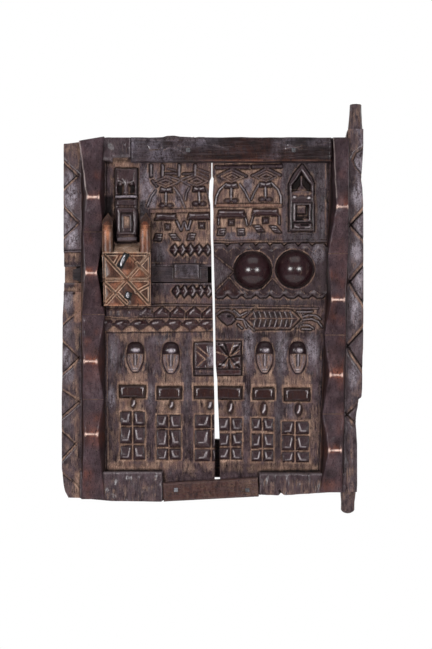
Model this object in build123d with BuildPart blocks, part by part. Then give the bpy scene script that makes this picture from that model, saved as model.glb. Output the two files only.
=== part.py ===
from build123d import *
import os
from math import atan2, degrees

os.makedirs("parts", exist_ok=True)

# A carved granary door: two planks held edge to edge, swinging on pivots carved from the right plank,
# with a sliding tumbler lock on the left plank.
#
# Frame: +Z up, +X to the right seen from the carved side, which faces -Y. The origin is the middle of
# the lower pivot journal. Sizes are in mm. A level is a distance forward from the planks' back face,
# and a reach is a distance sideways from the joint between the planks.

# ---- levels ------------------------------------------------------------------------------------
ground = 24  # the carved field
pivot_depth = 18  # from the back face to the pivot axis
border_level = 36  # the flat bands along both side edges
block_level = 42  # the raised corners at top and bottom
valley_level = 46  # the ridges where they are low and wide
peak_level = 64  # the ridges where they are high and narrow
bed = 4  # how deep a relief form is rooted below the surface that it stands on

# ---- widths, from the pivot to the left edge ---------------------------------------------------
pivot_inset = 6  # from the right border's inner edge to the pivot axis
right_ridge_zone = 46
right_field = 218
joint_gap = 3  # between the planks, at the top
bolt_end_gap = 8  # from the bolt's right end to the joint
bolt_tail = 14  # of bare bolt, right of the grip block
grip_length = 56
bolt_throw = 42
bolt_stop_clearance = 0.5  # between the grip block and the case when the bolt is thrown
case_width = 96
left_ridge_zone = 40
left_border = 43

joint_x = -(pivot_inset + right_ridge_zone + right_field)
left_inner = joint_x - joint_gap
bolt_right = left_inner - bolt_end_gap
grip_right = bolt_right - bolt_tail
grip_left = grip_right - grip_length
case_right = grip_left - bolt_throw - bolt_stop_clearance
case_left = case_right - case_width
case_middle = (case_left + case_right) / 2
left_ridge_x = case_left - left_ridge_zone / 2
left_border_right = case_left - left_ridge_zone
left_edge = left_border_right - left_border

# ---- heights, from the sole to the top edge ----------------------------------------------------
sole = 18  # the planks' lower edge above the middle of the pivot journal
bottom_border = 52
lower_field = 276
band_height = 54
case_height = 106
upper_field = 180
rail_height = 50

field_floor = sole + bottom_border
band_floor = field_floor + lower_field
case_bottom = band_floor + band_height
case_top = case_bottom + case_height
rail_bottom = case_top + upper_field
plank_top = rail_bottom + rail_height

# ---- edges that aren't square ------------------------------------------------------------------
left_shoulder_drop = 20  # how far the top edge falls towards the left corner
sole_sag = 8  # how far the left plank's lower edge bellies down
sole_rise = 11  # how far the right plank's lower edge rises to the post
left_joint_lean = 6  # how far the joint edges lean to the right on the way down
right_joint_lean = 16
lug_height = 24  # of the lug under the top rail, where the joint is nearly closed
lug_gap = 1.2

# ---- pivots and post ---------------------------------------------------------------------------
pivot_lean = 1.12  # degrees from upright, towards +X
pivot_bite = 15  # how deep a pivot's root is sunk in the post
journal_length = 16
lower_journal_radius = 14
lower_root_radius = 17.5  # where the lower pivot grows out of the post
lower_tip_length = 8
upper_journal_radius = 12
upper_root_radius = 15.5
upper_neck = 40.6  # from the post's top up to the middle of the upper journal
upper_tip_length = 2
post_width = 36  # of the right border, with the post inside it
post_foot_step = 13  # the bare post below the band is this much narrower
post_foot_height = 200  # from the sole to the band's lower end
post_foot_lap = 4  # the bare post is wider than the band on its inner side
post_head_inset = 4
post_head_height = 18  # of the post above the planks' top edge

# ---- ridges ------------------------------------------------------------------------------------
ridge_valley_width = 42
ridge_peak_width = 24
ridge_flare = 6  # how much wider a ridge is at its foot than at its top
left_ridge_runs = (128, 68, 76, 94, 82, 82, 68, 120)  # from low to high and back, from the sole up
right_ridge_runs = (86, 70, 78, 80, 70, 92, 92, 138)
right_ridge_lean = 22  # from foot to head
right_ridge_inset = 24  # from the border's inner edge to the ridge's middle, halfway up
top_corner_block_width = 54  # the top rail's left end sits against it

# ---- rails, batten and nails -------------------------------------------------------------------
rail_seat_level = 22
rail_thickness = 22
rail_clearance = 0.4  # around the ends and edges of a rail
top_rail_left = 165  # reach of its left end
top_rail_right = 236
bottom_rail_left = 100
bottom_rail_right = 90
bottom_rail_height = 38
bottom_rail_tilt = 3.2  # degrees, with the right end higher
bottom_rail_z = 34  # its middle, above the pivot journal
batten_thickness = 22
batten_height = 78
batten_z = 93
batten_reach = 212  # to each side of the joint
nail_width = 4
nail_clearance = 0.1
nail_head_width = 8
nail_head_thickness = 2.5
rail_nail_bite = 15  # how far a rail's nail goes into the plank
batten_nail_bite = 18
nail_tip_gap = 1
nail_hole = nail_width + 2 * nail_clearance
rail_edge = 3  # chamfer around the rails' and the batten's faces
top_nail_reaches = (-50, 160)
top_nail_drop = 26  # below the planks' top edge
bottom_nail_reaches = (-74, 68)
batten_nail_reaches = (-170, -40, 40, 170)

# ---- lock --------------------------------------------------------------------------------------
case_level = 70
case_foot_inset = 4  # the case is this much narrower at its foot
case_apron = 18  # how far the case's top slopes up to the plank between the horns
case_seat_clearance = 0.3
horn_width = 21
horn_height = 80
horn_shoulder = 44  # the horn's upright front, before it turns back
horn_tip_level = 42
horn_arch_drop = 16  # from a horn's tip to where its sides are upright
bolt_height = 30
bolt_thickness = 22
bolt_lift = 63  # the bolt's middle above the case's foot
bolt_floor = 12  # level of the channel's floor in the plank
bolt_clearance = 0.5
bolt_setback = 22  # from the plank's left edge to the bolt's tip at rest
bolt_tip_length = 16
bolt_tip_height = 20
grip_height = 36
grip_lift = 6  # the grip block's middle above the bolt's
grip_level = 43
grip_taper = 12  # degrees
bolt_recess_level = 27  # the border band is cut down to this around the bolt's tip
bolt_recess_height = 80
key_width = 13  # of the hollow for the key, from front to back
key_height = 12
key_level = 24.5  # its middle
key_drop = 4  # its middle below the bolt's
key_end = 12  # from its blind end to the nearest tumbler's pocket
tumbler_offsets = (-28, 10, 30)  # from the middle of the case
tumbler_width = 5
tumbler_length = 20  # under the head
tumbler_head_width = 10
tumbler_head_height = 4
tumbler_lift = 6
tumbler_drop = 8  # into the bolt, when it is thrown
tumbler_clearance = 0.3
tumbler_gap = 1  # from a tumbler to the plank behind it
tumbler_pocket_clearance = 0.5  # around a tumbler in the bolt
staple_plate = 3
staple_clinch = 12  # of the shank, bent over behind the plank
plate_rim = 2.5
plate_dish = 1.5
upper_staple_z = 89  # above the case's foot
upper_staple_shift = -6  # from the middle of the case
upper_staple_tilt = -28  # degrees
upper_plate_width = 12
upper_plate_height = 32
lower_staple_z = 20
lower_staple_shift = 4
lower_staple_tilt = -18
lower_plate_width = 13
lower_plate_height = 15

bolt_z = case_bottom + bolt_lift
bolt_front = bolt_floor + bolt_clearance + bolt_thickness
bolt_left = left_edge + bolt_setback
rail_level = rail_seat_level + rail_thickness
right_sole = sole + sole_rise
post_top = plank_top + post_head_height
tumbler_level = ground + tumbler_gap + tumbler_width / 2
tumbler_rest_z = bolt_z + bolt_height / 2 + tumbler_clearance  # the tips lie just off the bolt

# ---- relief on both planks ---------------------------------------------------------------------
groove_width = 4
groove_depth = 3
rib_width = 4.5
rib_rise = 4
mask_height = 66
mask_width = 37
mask_rise = 15
face_rise = 9
brow_lift = 8  # the brow line above the head's middle
nose_width = 5
nose_length = 26
nose_rise = 4
mouth_width = 14
mouth_height = 4
mouth_rise = 3
mouth_lift = 10  # above the chin
mask_z = field_floor + 228
block_z = field_floor + 158
block_height = 26
block_rise = 9
block_taper = 20  # degrees
nub_z = field_floor + 134
nub_width = 12
nub_height = 17
nub_rise = 8
nub_taper = 30
stud_floor = field_floor + 36  # middle of the lowest row
stud_pitch = 34
stud_rows = 3
stud_height = 25
stud_rise = 8
stud_taper = 32
motif_height = 66
motif_rise = 9
bar_rise = 7
bar_height = 14
square_width = 9
figure_cap = 8

# Places on the left plank: reach leftwards from the joint, and width where they differ.
left_masks = (152, 81)
left_blocks = ((159, 50), (85, 47), (19, 32))
left_nubs = (157, 81)
left_studs = ((172, 22), (146, 22), (99, 23), (73, 23), (21, 22))
left_motif = (6, 37)  # its two sides
left_chevrons = (  # along the border band: heights of foot, tip and head above the sole
    (24, 48, 72),
    (74, 107, 132),
    (162, 194, 214),
    (246, 279, 312),
    (340, 352, 366),
    (520, 550, 578),
    (612, 646, 672),
)
tooth_pitch = 36
tooth_height = 12
row_height = 11
row_gap = 3
strip_height = 24
strip_pitch = 17
strip_left = 78
upper_strip_lift = 7  # above the case's top
lower_strip_drop = 33  # below the bolt's middle
figure_width = 44
figure_shift = 6  # from the middle of the case
figure_foot = 26  # above the case's top
figure_top = 8  # below the rail
figure_rise = 22

# Places on the right plank: reach rightwards from the joint.
right_masks = (103, 170)
right_blocks = ((36, 46), (101, 42), (168, 52))
right_nubs = (36, 104, 172)
right_studs = ((24, 18), (46, 21), (87, 19), (110, 20), (151, 21), (179, 24))
right_stud_drop = 7
right_motif = (12, 57)
right_chevrons = (
    (146, 166, 193),
    (249, 303, 343),
    (380, 430, 466),
    (508, 544, 580),
    (644, 674, 694),
)
panel_height = 92
panel_rise = 9
panel_lift = 8  # the panel's middle above the bolt's
scallop_pitch = 30
scallop_height = 9
dome_radius = 37
dome_reaches = (80, 162)
dome_lift = 11  # the domes' middle above the bolt's
lizard_drop = 21  # its middle below the case's foot
lizard_height = 42
lizard_rise = 9
lizard_body = (72, 174)
lizard_head = (8, 46)
shrine_reach = 176
shrine_width = 46
shrine_height = 134
shrine_rise = 12


# ---- carving helpers ---------------------------------------------------------------------------
# Each returns its solids without joining them to anything, so that a plank takes all its relief in one
# union and all its cuts in one subtraction.
def face_plane(level):
    """The plane parallel to the door's face at a level, with x across and y up."""
    return Plane.XZ.offset(level - pivot_depth)


def slabs(outlines, low, high):
    """Flat-topped forms between two levels, from their corners."""
    with BuildSketch(face_plane(low)) as outline:
        for corners in outlines:
            with BuildLine():
                Polyline(*corners, close=True)
            make_face()
    return extrude(outline.sketch, amount=high - low, mode=Mode.PRIVATE).solids()


def blocks(places, low, high, taper=0):
    """Upright blocks between two levels. A place is x, z, width, height."""
    with BuildSketch(face_plane(low)) as outline:
        for x, z, width, height in places:
            with Locations((x, z)):
                Rectangle(width, height)
    return extrude(outline.sketch, amount=high - low, taper=taper, mode=Mode.PRIVATE).solids()


def strokes(lines, width, low, high):
    """Straight ribs between two levels. A line is its two ends."""
    with BuildSketch(face_plane(low)) as outline:
        for (x1, z1), (x2, z2) in lines:
            turn = degrees(atan2(z2 - z1, x2 - x1))
            with Locations(Location(((x1 + x2) / 2, (z1 + z2) / 2), turn)):
                Rectangle(Vector(x2 - x1, z2 - z1).length, width)
    return extrude(outline.sketch, amount=high - low, mode=Mode.PRIVATE).solids()


def grooves(lines, level):
    """What to cut away for grooves in the surface at a level."""
    return strokes(lines, groove_width, level - groove_depth, level + bed)


def path(*corners):
    """The lines that join corners in turn."""
    return list(zip(corners, corners[1:]))


def diamond(x, z, width, height):
    """The corners of a lozenge."""
    return [(x - width / 2, z), (x, z - height / 2), (x + width / 2, z), (x, z + height / 2)]


def toothed(start, end, edge, root, tip, pitch):
    """The corners of a strip with one straight edge, and teeth from root to tip along the other."""
    teeth = max(1, round(abs(end - start) / pitch))
    step = (end - start) / teeth
    corners = [(start, edge)]
    for tooth in range(teeth):
        corners += [(start + tooth * step, root), (start + (tooth + 0.5) * step, tip)]
    return corners + [(end, root), (end, edge)]


def diamond_chain(start, end, z, height, pitch):
    """The corners of a strip whose two edges both run in teeth, like lozenges in a row."""
    upper = toothed(start, end, z, z + height / 4, z + height / 2, pitch)
    lower = toothed(start, end, z, z - height / 4, z - height / 2, pitch)
    return upper[1:-1] + lower[-2:0:-1]


def ridge(x_foot, x_head, foot, head, runs):
    """A ridge that swells and narrows in turn, from the sole to the top edge."""
    stretch = (head - foot) / sum(runs)
    sections = []
    for step in range(len(runs) + 1):
        height = sum(runs[:step]) * stretch
        x = x_foot + (x_head - x_foot) * height / (head - foot)
        is_peak = step % 2 == 1
        half = (ridge_peak_width if is_peak else ridge_valley_width) / 2
        back = pivot_depth - ground + bed
        front = pivot_depth - (peak_level if is_peak else valley_level)
        with BuildSketch(Plane.XY.offset(foot + height)) as section:
            with BuildLine():
                Polyline(
                    (x - half - ridge_flare / 2, back),
                    (x + half + ridge_flare / 2, back),
                    (x + half, front),
                    (x - half, front),
                    close=True,
                )
            make_face()
        sections.append(section.sketch)
    return loft(sections, ruled=True, mode=Mode.PRIVATE).solids()


def masks(columns):
    """A mask at each of several columns."""
    return [mask.part.moved(Location((x, 0, mask_z))) for x in columns]


def lower_rows(side, long_blocks, nub_reaches, studs, stud_drop):
    """The long blocks, the small pyramids and the grid of studs. The side is -1 or 1."""
    block_places = [(joint_x + side * reach, block_z, width, block_height) for reach, width in long_blocks]
    nub_places = [(joint_x + side * reach, nub_z, nub_width, nub_height) for reach in nub_reaches]
    rows = [stud_floor - stud_drop + row * stud_pitch for row in range(stud_rows)]
    stud_places = [(joint_x + side * reach, z, width, stud_height) for reach, width in studs for z in rows]
    return (
        blocks(block_places, ground - bed, ground + block_rise, taper=block_taper)
        + blocks(nub_places, ground, ground + nub_rise, taper=nub_taper)
        + blocks(stud_places, ground, ground + stud_rise, taper=stud_taper)
    )


def standing_figure(x, top, height, cap):
    """The places of a head bar, a stem and a foot bar."""
    return [
        (x, top - figure_cap / 2, cap, figure_cap),
        (x, top - height / 2, rib_width, height),
        (x, top - height + figure_cap / 2, cap, figure_cap),
    ]


def pivot(middle, direction, radius, root, root_reach, tip):
    """A pivot turned about the leaning axis: root, journal and rounded tip. The direction is -1 or 1."""
    half = journal_length / 2
    cap_radius = (radius**2 + tip**2) / (2 * tip)
    cap_centre = half + tip - cap_radius
    cap_start = degrees(atan2(half - cap_centre, radius))
    with BuildSketch(pivot_plane) as profile:
        with BuildLine():
            cap = CenterArc((0, cap_centre), cap_radius, cap_start, 90 - cap_start)
            Polyline(cap @ 1, (0, -root_reach), (root, -root_reach), (radius, -half), cap @ 0)
        make_face()
        if direction < 0:
            mirror(about=Plane.XZ, mode=Mode.REPLACE)
    turned = revolve(profile.sketch, axis=pivot_axis, mode=Mode.PRIVATE)
    return turned.moved(Location(pivot_plane.y_dir * middle)).solids()


def nail_holes(places, low, high):
    """What to cut away for square forged nails."""
    return blocks([(x, z, nail_hole, nail_hole) for x, z in places], low, high)


pivot_plane = Plane(origin=(0, 0, 0), x_dir=(1, 0, 0), z_dir=(0, -1, 0)).rotated((0, pivot_lean, 0))
pivot_axis = Axis((0, 0, 0), pivot_plane.y_dir)
upper_pivot_reach = (post_top + upper_neck) / pivot_plane.y_dir.Z

# ---- a mask: a domed brow over a flatter face with a long nose and a mouth ---------------------
with BuildPart() as mask:
    sunk = face_plane(ground + mask_rise - mask_width / 2)
    chin = -mask_height / 2
    face_floor = ground + face_rise
    face_height = brow_lift - chin
    with BuildSketch(Plane.YZ):
        with Locations((sunk.origin.Y, 0)):
            Ellipse(mask_width / 2, mask_height / 2)
            Rectangle(mask_width, mask_height, align=(Align.MIN, Align.CENTER), mode=Mode.SUBTRACT)
    revolve(axis=Axis(sunk.origin, (0, 0, 1)))
    split(bisect_by=sunk)
    with BuildSketch(face_plane(face_floor)):
        with Locations((0, chin)):
            Rectangle(mask_width, face_height, align=(Align.CENTER, Align.MIN))
    extrude(amount=mask_width, mode=Mode.SUBTRACT)
    with BuildSketch(face_plane(face_floor - bed)):
        with Locations((0, brow_lift)):
            Rectangle(nose_width, nose_length, align=(Align.CENTER, Align.MAX))
    extrude(amount=bed + nose_rise)
    with BuildSketch(face_plane(face_floor - bed)):
        with Locations((0, chin + mouth_lift)):
            Rectangle(mouth_width, mouth_height)
    extrude(amount=bed + mouth_rise)

# ---- places of the pieces that are let into or fastened to the planks --------------------------
bottom_rail_length = bottom_rail_left + bottom_rail_right
bottom_rail_middle = joint_x + (bottom_rail_right - bottom_rail_left) / 2
bottom_rail_place = Location((bottom_rail_middle, bottom_rail_z), bottom_rail_tilt)
top_rail_length = top_rail_left + top_rail_right
top_rail_middle = joint_x + (top_rail_right - top_rail_left) / 2
top_nails = [(joint_x + reach, plank_top - top_nail_drop) for reach in top_nail_reaches]
bottom_nails = [(joint_x + reach, bottom_rail_z) for reach in bottom_nail_reaches]
batten_nails = [(joint_x + reach, batten_z) for reach in batten_nail_reaches]
staples = [
    (case_middle + upper_staple_shift, case_bottom + upper_staple_z),
    (case_middle + lower_staple_shift, case_bottom + lower_staple_z),
]


def cuts_for_fittings():
    """What both planks lose to the rails, and to the nails of the rails and the batten."""
    around = 2 * rail_clearance
    with BuildSketch(face_plane(rail_seat_level)) as seats:
        with Locations((top_rail_middle, rail_bottom - rail_clearance)):
            Rectangle(top_rail_length + around, 2 * rail_height, align=(Align.CENTER, Align.MIN))
        with Locations(bottom_rail_place):
            Rectangle(bottom_rail_length + around, bottom_rail_height + around)
    seat_cuts = extrude(seats.sketch, amount=peak_level, mode=Mode.PRIVATE).solids()
    nail_floor = rail_seat_level - rail_nail_bite - nail_tip_gap
    rail_holes = nail_holes(top_nails + bottom_nails, nail_floor, rail_seat_level)
    return seat_cuts + rail_holes + nail_holes(batten_nails, 0, batten_nail_bite + nail_tip_gap)


# ---- left plank --------------------------------------------------------------------------------
with BuildPart() as left_plank:
    board = [
        (left_edge, sole),
        (case_left, sole - sole_sag),
        (case_right, sole - sole_sag),
        (left_inner + left_joint_lean, sole),
        (left_inner, case_top),
        (left_inner, plank_top),
        (left_ridge_x, plank_top),
        (left_edge, plank_top - left_shoulder_drop),
    ]
    band = [
        (left_edge, sole),
        (left_ridge_x, sole),
        (left_ridge_x, plank_top),
        (left_edge, plank_top - left_shoulder_drop),
    ]
    bottom_block = [
        (left_ridge_x, sole - sole_sag),
        (joint_x - bottom_rail_left, sole - sole_sag),
        (joint_x - bottom_rail_left, field_floor),
        (left_ridge_x, field_floor),
    ]
    top_block = [
        (left_ridge_x, rail_bottom),
        (case_left + top_corner_block_width, rail_bottom),
        (case_left + top_corner_block_width, plank_top),
        (left_ridge_x, plank_top),
    ]
    forms = slabs([band], ground - bed, border_level)
    forms += slabs([bottom_block, top_block], ground - bed, block_level)
    forms += ridge(left_ridge_x, left_ridge_x, sole, plank_top, left_ridge_runs)

    # Lower field: masks, a square motif at the joint, blocks and studs.
    forms += masks([joint_x - reach for reach in left_masks])
    forms += lower_rows(-1, left_blocks, left_nubs, left_studs, 0)
    motif_near, motif_far = (joint_x - reach for reach in left_motif)
    motif_x = (motif_near + motif_far) / 2
    motif = (motif_x, mask_z, motif_near - motif_far, motif_height)
    forms += blocks([motif], ground - bed, ground + motif_rise)
    motif_base = mask_z - motif_height / 3
    motif_eave = mask_z + motif_height / 3
    motif_lines = path((motif_far, motif_eave), (motif_x, mask_z), (motif_near, motif_eave))
    motif_lines += path((motif_far, motif_base), (motif_x, mask_z))
    motif_lines += path((motif_far, motif_base), (motif_near, motif_base))

    # The double band of teeth under the lock, and the two strips beside the bolt.
    band_z = band_floor + band_height / 2
    strips = []
    for side in (1, -1):
        edge = band_z + side * row_gap / 2
        root = edge + side * row_height
        strips.append(toothed(left_inner, case_left, edge, root, root + side * tooth_height, tooth_pitch))
    for z in (case_top + upper_strip_lift, bolt_z - lower_strip_drop):
        strips.append(diamond_chain(left_inner, joint_x - strip_left, z, strip_height, strip_pitch))
    forms += slabs(strips, ground - bed, ground + bar_rise)

    # Upper field: hats over standing figures, thick bars and small marks.
    hats = [diamond(joint_x - reach, rail_bottom - 36, 48, 26) for reach in (96, 40)]
    bars = standing_figure(joint_x - 92, rail_bottom - 48, 44, 22)
    bars += standing_figure(joint_x - 31, rail_bottom - 48, 44, 22)
    bars += [(joint_x - reach, rail_bottom - 108, 43, bar_height) for reach in (97, 34)]
    bars += [(joint_x - reach, rail_bottom - 132, square_width, square_width) for reach in (92, 28)]
    bars += [(joint_x - reach, rail_bottom - 17, rib_width, 22) for reach in (124, 103, 73, 48)]
    ribs = path((joint_x - 98, rail_bottom - 20), (joint_x - 40, rail_bottom - 20))
    for shoulder, elbow, hand in ((115, 124, 128), (78, 68, 62), (46, 52, 54)):
        ribs += path(
            (joint_x - shoulder, rail_bottom - 48),
            (joint_x - elbow, rail_bottom - 66),
            (joint_x - hand, rail_bottom - 90),
        )
    for reach in (78, 64):
        ribs += path(
            (joint_x - reach, rail_bottom - 118),
            (joint_x - reach + 7, rail_bottom - 138),
            (joint_x - reach + 14, rail_bottom - 118),
        )
    for reach in (112, 80, 48):
        ribs += path((joint_x - reach - 6, rail_bottom - 162), (joint_x - reach + 6, rail_bottom - 150))
    forms += slabs(hats, ground - bed, ground + rib_rise)
    forms += blocks(bars, ground - bed, ground + bar_rise)
    forms += strokes(ribs, rib_width, ground - bed, ground + rib_rise)

    # The tall figure above the lock: a body with a door, and a head with two hollows.
    figure_x = case_middle + figure_shift
    figure_foot_z = case_top + figure_foot
    figure_head_z = rail_bottom - figure_top
    body_height = (figure_head_z - figure_foot_z) / 2
    body = (figure_x, figure_foot_z + body_height / 2, figure_width, body_height)
    head = (figure_x, figure_head_z - body_height / 2, figure_width - 2 * bed, body_height)
    head_level = ground + figure_rise * 0.7
    forms += blocks([body], ground - bed, ground + figure_rise)
    forms += blocks([head], ground - bed, head_level)
    door = (figure_x, figure_foot_z + body_height * 0.42, figure_width * 0.5, body_height * 0.5)
    eye_z = figure_head_z - body_height * 0.42
    eye_xs = [figure_x + side * figure_width * 0.2 for side in (-1, 1)]
    eyes = [(x, eye_z, figure_width * 0.26, body_height * 0.5) for x in eye_xs]

    with BuildSketch(face_plane(0)):
        with BuildLine():
            Polyline(*board, close=True)
        make_face()
    extrude(amount=ground)
    add(forms)

    # Chevrons along the band, pointing to the ridge.
    chevron_tip = left_border_right - groove_width
    chevrons = []
    for low, tip, high in left_chevrons:
        chevrons += path((left_edge, sole + low), (chevron_tip, sole + tip), (left_edge, sole + high))

    # The lock's seat, the bolt's channel under the ridge, and the holes of the staples.
    around = 2 * case_seat_clearance
    case_z = (case_top + case_bottom) / 2
    seats = [
        (case_middle, case_z, case_width + around, case_height + around),
        (case_middle, case_top + case_apron / 2, case_width, case_apron + around),
    ]
    for x in (case_left + horn_width / 2, case_right - horn_width / 2):
        seats.append((x, case_top + horn_height / 2, horn_width + around, horn_height + around))
    channel_middle = (left_edge + left_inner) / 2
    channel_length = left_inner - left_edge + 2 * left_joint_lean
    channel = (channel_middle, bolt_z, channel_length, bolt_height + 2 * bolt_clearance)
    recess = (left_edge, bolt_z, 2 * left_border, bolt_recess_height)

    cuts = grooves(motif_lines, ground + motif_rise)
    cuts += grooves(chevrons, border_level)
    cuts += blocks([door], ground + figure_rise / 2, ground + figure_rise + bed)
    cuts += blocks(eyes, ground + figure_rise * 0.3, head_level + bed)
    cuts += blocks([recess], bolt_recess_level, border_level + bed)
    cuts += blocks(seats, ground, peak_level + bed)
    cuts += blocks([channel], bolt_floor, bolt_front + bolt_clearance)
    cuts += nail_holes(staples, 0, ground)
    add(cuts + cuts_for_fittings(), mode=Mode.SUBTRACT)
left_plank.part.label = "left_plank"
export_step(left_plank.part, "parts/left_plank.step")

# ---- right plank -------------------------------------------------------------------------------
with BuildPart() as right_plank:
    border_inner = -pivot_inset
    border_outer = border_inner + post_width
    board = [
        (joint_x + right_joint_lean, sole),
        (border_inner, right_sole),
        (border_inner, plank_top),
        (left_inner + lug_gap, plank_top),
        (left_inner + lug_gap, rail_bottom - lug_height),
        (joint_x, rail_bottom - lug_height),
        (joint_x, case_top),
    ]
    post = [
        (border_inner - post_foot_lap, right_sole),
        (border_outer - post_foot_step, right_sole),
        (border_outer - post_foot_step, sole + post_foot_height),
        (border_outer, sole + post_foot_height),
        (border_outer, post_top),
        (border_inner + post_head_inset, post_top),
        (border_inner + post_head_inset, plank_top),
        (border_inner - post_foot_lap, plank_top),
    ]
    ridge_x = border_inner - right_ridge_inset
    ridge_foot, ridge_head = ridge_x - right_ridge_lean / 2, ridge_x + right_ridge_lean / 2
    bottom_block = [
        (ridge_x, right_sole),
        (joint_x + bottom_rail_right, sole + sole_rise / 2),
        (joint_x + bottom_rail_right, field_floor),
        (ridge_x, field_floor),
    ]
    forms = slabs([post], 0, border_level)
    lower = (lower_journal_radius, lower_root_radius, right_sole + pivot_bite, lower_tip_length)
    upper = (upper_journal_radius, upper_root_radius, upper_neck + pivot_bite, upper_tip_length)
    forms += pivot(0, -1, *lower)
    forms += pivot(upper_pivot_reach, 1, *upper)
    forms += slabs([bottom_block], ground - bed, block_level)
    forms += ridge(ridge_foot, ridge_head, right_sole, plank_top, right_ridge_runs)

    # Lower field: masks, a square motif at the joint, blocks and studs.
    forms += masks([joint_x + reach for reach in right_masks])
    forms += lower_rows(1, right_blocks, right_nubs, right_studs, right_stud_drop)
    motif_near, motif_far = (joint_x + reach for reach in right_motif)
    motif_x = (motif_near + motif_far) / 2
    motif = (motif_x, mask_z, motif_far - motif_near, motif_height)
    forms += blocks([motif], ground - bed, ground + motif_rise)
    motif_top = mask_z + motif_height / 2
    motif_base = mask_z - motif_height / 3
    motif_lines = path((motif_near, motif_top), (motif_far, motif_base))
    motif_lines += path((motif_far, motif_top), (motif_near, motif_base))
    motif_lines += path((motif_x, motif_top), (motif_x, motif_base))
    motif_lines += path((motif_near, motif_base), (motif_far, motif_base))

    # The lizard under the domes.
    lizard_z = case_bottom - lizard_drop
    body_near, body_far = (joint_x + reach for reach in lizard_body)
    head_near, head_far = (joint_x + reach for reach in lizard_head)
    tail_end = joint_x + right_field
    half = lizard_height / 2
    lizard = [
        (body_near, lizard_z),
        (body_near + half / 2, lizard_z - half),
        (body_far - half / 2, lizard_z - half),
        (body_far, lizard_z),
        (body_far - half / 2, lizard_z + half),
        (body_near + half / 2, lizard_z + half),
    ]
    head_x = (head_near + head_far) / 2
    lizard_eye = diamond(head_x, lizard_z, head_far - head_near, lizard_height * 0.75)
    forms += slabs([lizard, lizard_eye], ground - bed, ground + lizard_rise)
    ribs = path((head_far - bed, lizard_z), (body_near + bed, lizard_z))
    ribs += path((body_far - bed, lizard_z), (tail_end, lizard_z))
    for side in (-1, 1):
        feet = lizard_z + side * half
        ribs += path((body_near + half / 2, lizard_z), (body_near - half / 2, feet), (head_far, feet))
        ribs += path((body_far - half / 2, lizard_z), (body_far + half / 2, feet), (tail_end, feet))

    # The raised panel with two domes.
    panel_z = bolt_z + panel_lift
    panel_near, panel_far = joint_x + bed, joint_x + right_field
    panel_top = panel_z + panel_height / 2
    panel_foot = panel_z - panel_height / 2
    scallops = [
        toothed(panel_near, panel_far, panel_z, panel_top, panel_top + scallop_height, scallop_pitch),
        toothed(panel_near, panel_far, panel_z, panel_foot, panel_foot - scallop_height, scallop_pitch),
    ]
    forms += slabs(scallops, ground - bed, ground + panel_rise)
    dome_z = bolt_z + dome_lift
    panel_lines = path((panel_near, panel_top - 10), (joint_x + 46, dome_z - 6), (panel_near, panel_foot))
    panel_lines += path((joint_x + 28, dome_z - 16), (joint_x + 56, panel_foot))

    # Upper field: hats, arches and standing figures, thick bars and small marks.
    hats = [diamond(joint_x + reach, rail_bottom - 37, 54, 26) for reach in (36, 104)]
    bars = standing_figure(joint_x + 35, rail_bottom - 52, 38, 24)
    bars += standing_figure(joint_x + 104, rail_bottom - 47, 42, 24)
    bars += [(joint_x + reach, rail_bottom - 100, 54, bar_height) for reach in (37, 105)]
    bars += [(joint_x + reach, rail_bottom - 11, 60, bar_height) for reach in (41, 107)]
    bars += [(joint_x + reach, rail_bottom - 117, square_width, square_width) for reach in (34, 104)]
    for near, far in ((8, 66), (78, 132)):
        for foot, inward in ((near, 1), (far, -1)):
            ribs += path(
                (joint_x + foot, rail_bottom - 88),
                (joint_x + foot + inward * 4, rail_bottom - 62),
                (joint_x + foot + inward * 18, rail_bottom - 42),
            )
    for reach in (16, 54, 88, 120):
        ribs += path((joint_x + reach - 6, rail_bottom - 141), (joint_x + reach + 6, rail_bottom - 129))
    forms += slabs(hats, ground - bed, ground + rib_rise)
    forms += blocks(bars, ground - bed, ground + bar_rise)
    forms += strokes(ribs, rib_width, ground - bed, ground + rib_rise)

    # The shrine: a pointed niche with a stem over a door.
    shrine_x = joint_x + shrine_reach
    shrine_foot = rail_bottom - bed - shrine_height
    shrine_eave = shrine_foot + shrine_height * 0.7
    half = shrine_width / 2
    shrine = [
        (shrine_x - half, shrine_foot),
        (shrine_x + half, shrine_foot),
        (shrine_x + half, shrine_eave),
        (shrine_x, shrine_foot + shrine_height),
        (shrine_x - half, shrine_eave),
    ]
    forms += slabs([shrine], ground - bed, ground + shrine_rise)
    niches = []
    for side in (-1, 1):
        niches.append(
            [
                (shrine_x + side * rib_width / 2, shrine_eave - 14),
                (shrine_x + side * (half - bed), shrine_eave - 14),
                (shrine_x + side * (half - bed), shrine_eave),
                (shrine_x + side * rib_width / 2, shrine_foot + shrine_height - 14),
            ]
        )
    shrine_door = (shrine_x, shrine_foot + shrine_height * 0.26, half * 1.2, shrine_height * 0.24)

    with BuildSketch(face_plane(0)):
        with BuildLine():
            Polyline(*board, close=True)
        make_face()
    extrude(amount=ground)
    add(forms)
    for reach in dome_reaches:
        dome_seat = face_plane(ground + panel_rise).origin.Y
        with Locations(Location((joint_x + reach, dome_seat, dome_z), (90, 0, 0))):
            Sphere(dome_radius, arc_size1=0)

    # Chevrons along the band and the bare post, pointing to the ridge.
    chevron_tip = border_inner + groove_width
    chevrons = []
    for low, tip, high in right_chevrons:
        edge = border_outer if low > post_foot_height else border_outer - post_foot_step
        chevrons += path((edge, sole + low), (chevron_tip, sole + tip), (edge, sole + high))

    cuts = grooves(motif_lines, ground + motif_rise)
    cuts += grooves(panel_lines, ground + panel_rise)
    cuts += grooves(chevrons, border_level)
    cuts += slabs(niches, ground + shrine_rise / 4, ground + shrine_rise + bed)
    cuts += blocks([shrine_door], ground + shrine_rise / 2, ground + shrine_rise + bed)
    add(cuts + cuts_for_fittings(), mode=Mode.SUBTRACT)
right_plank.part.label = "right_plank"
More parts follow.
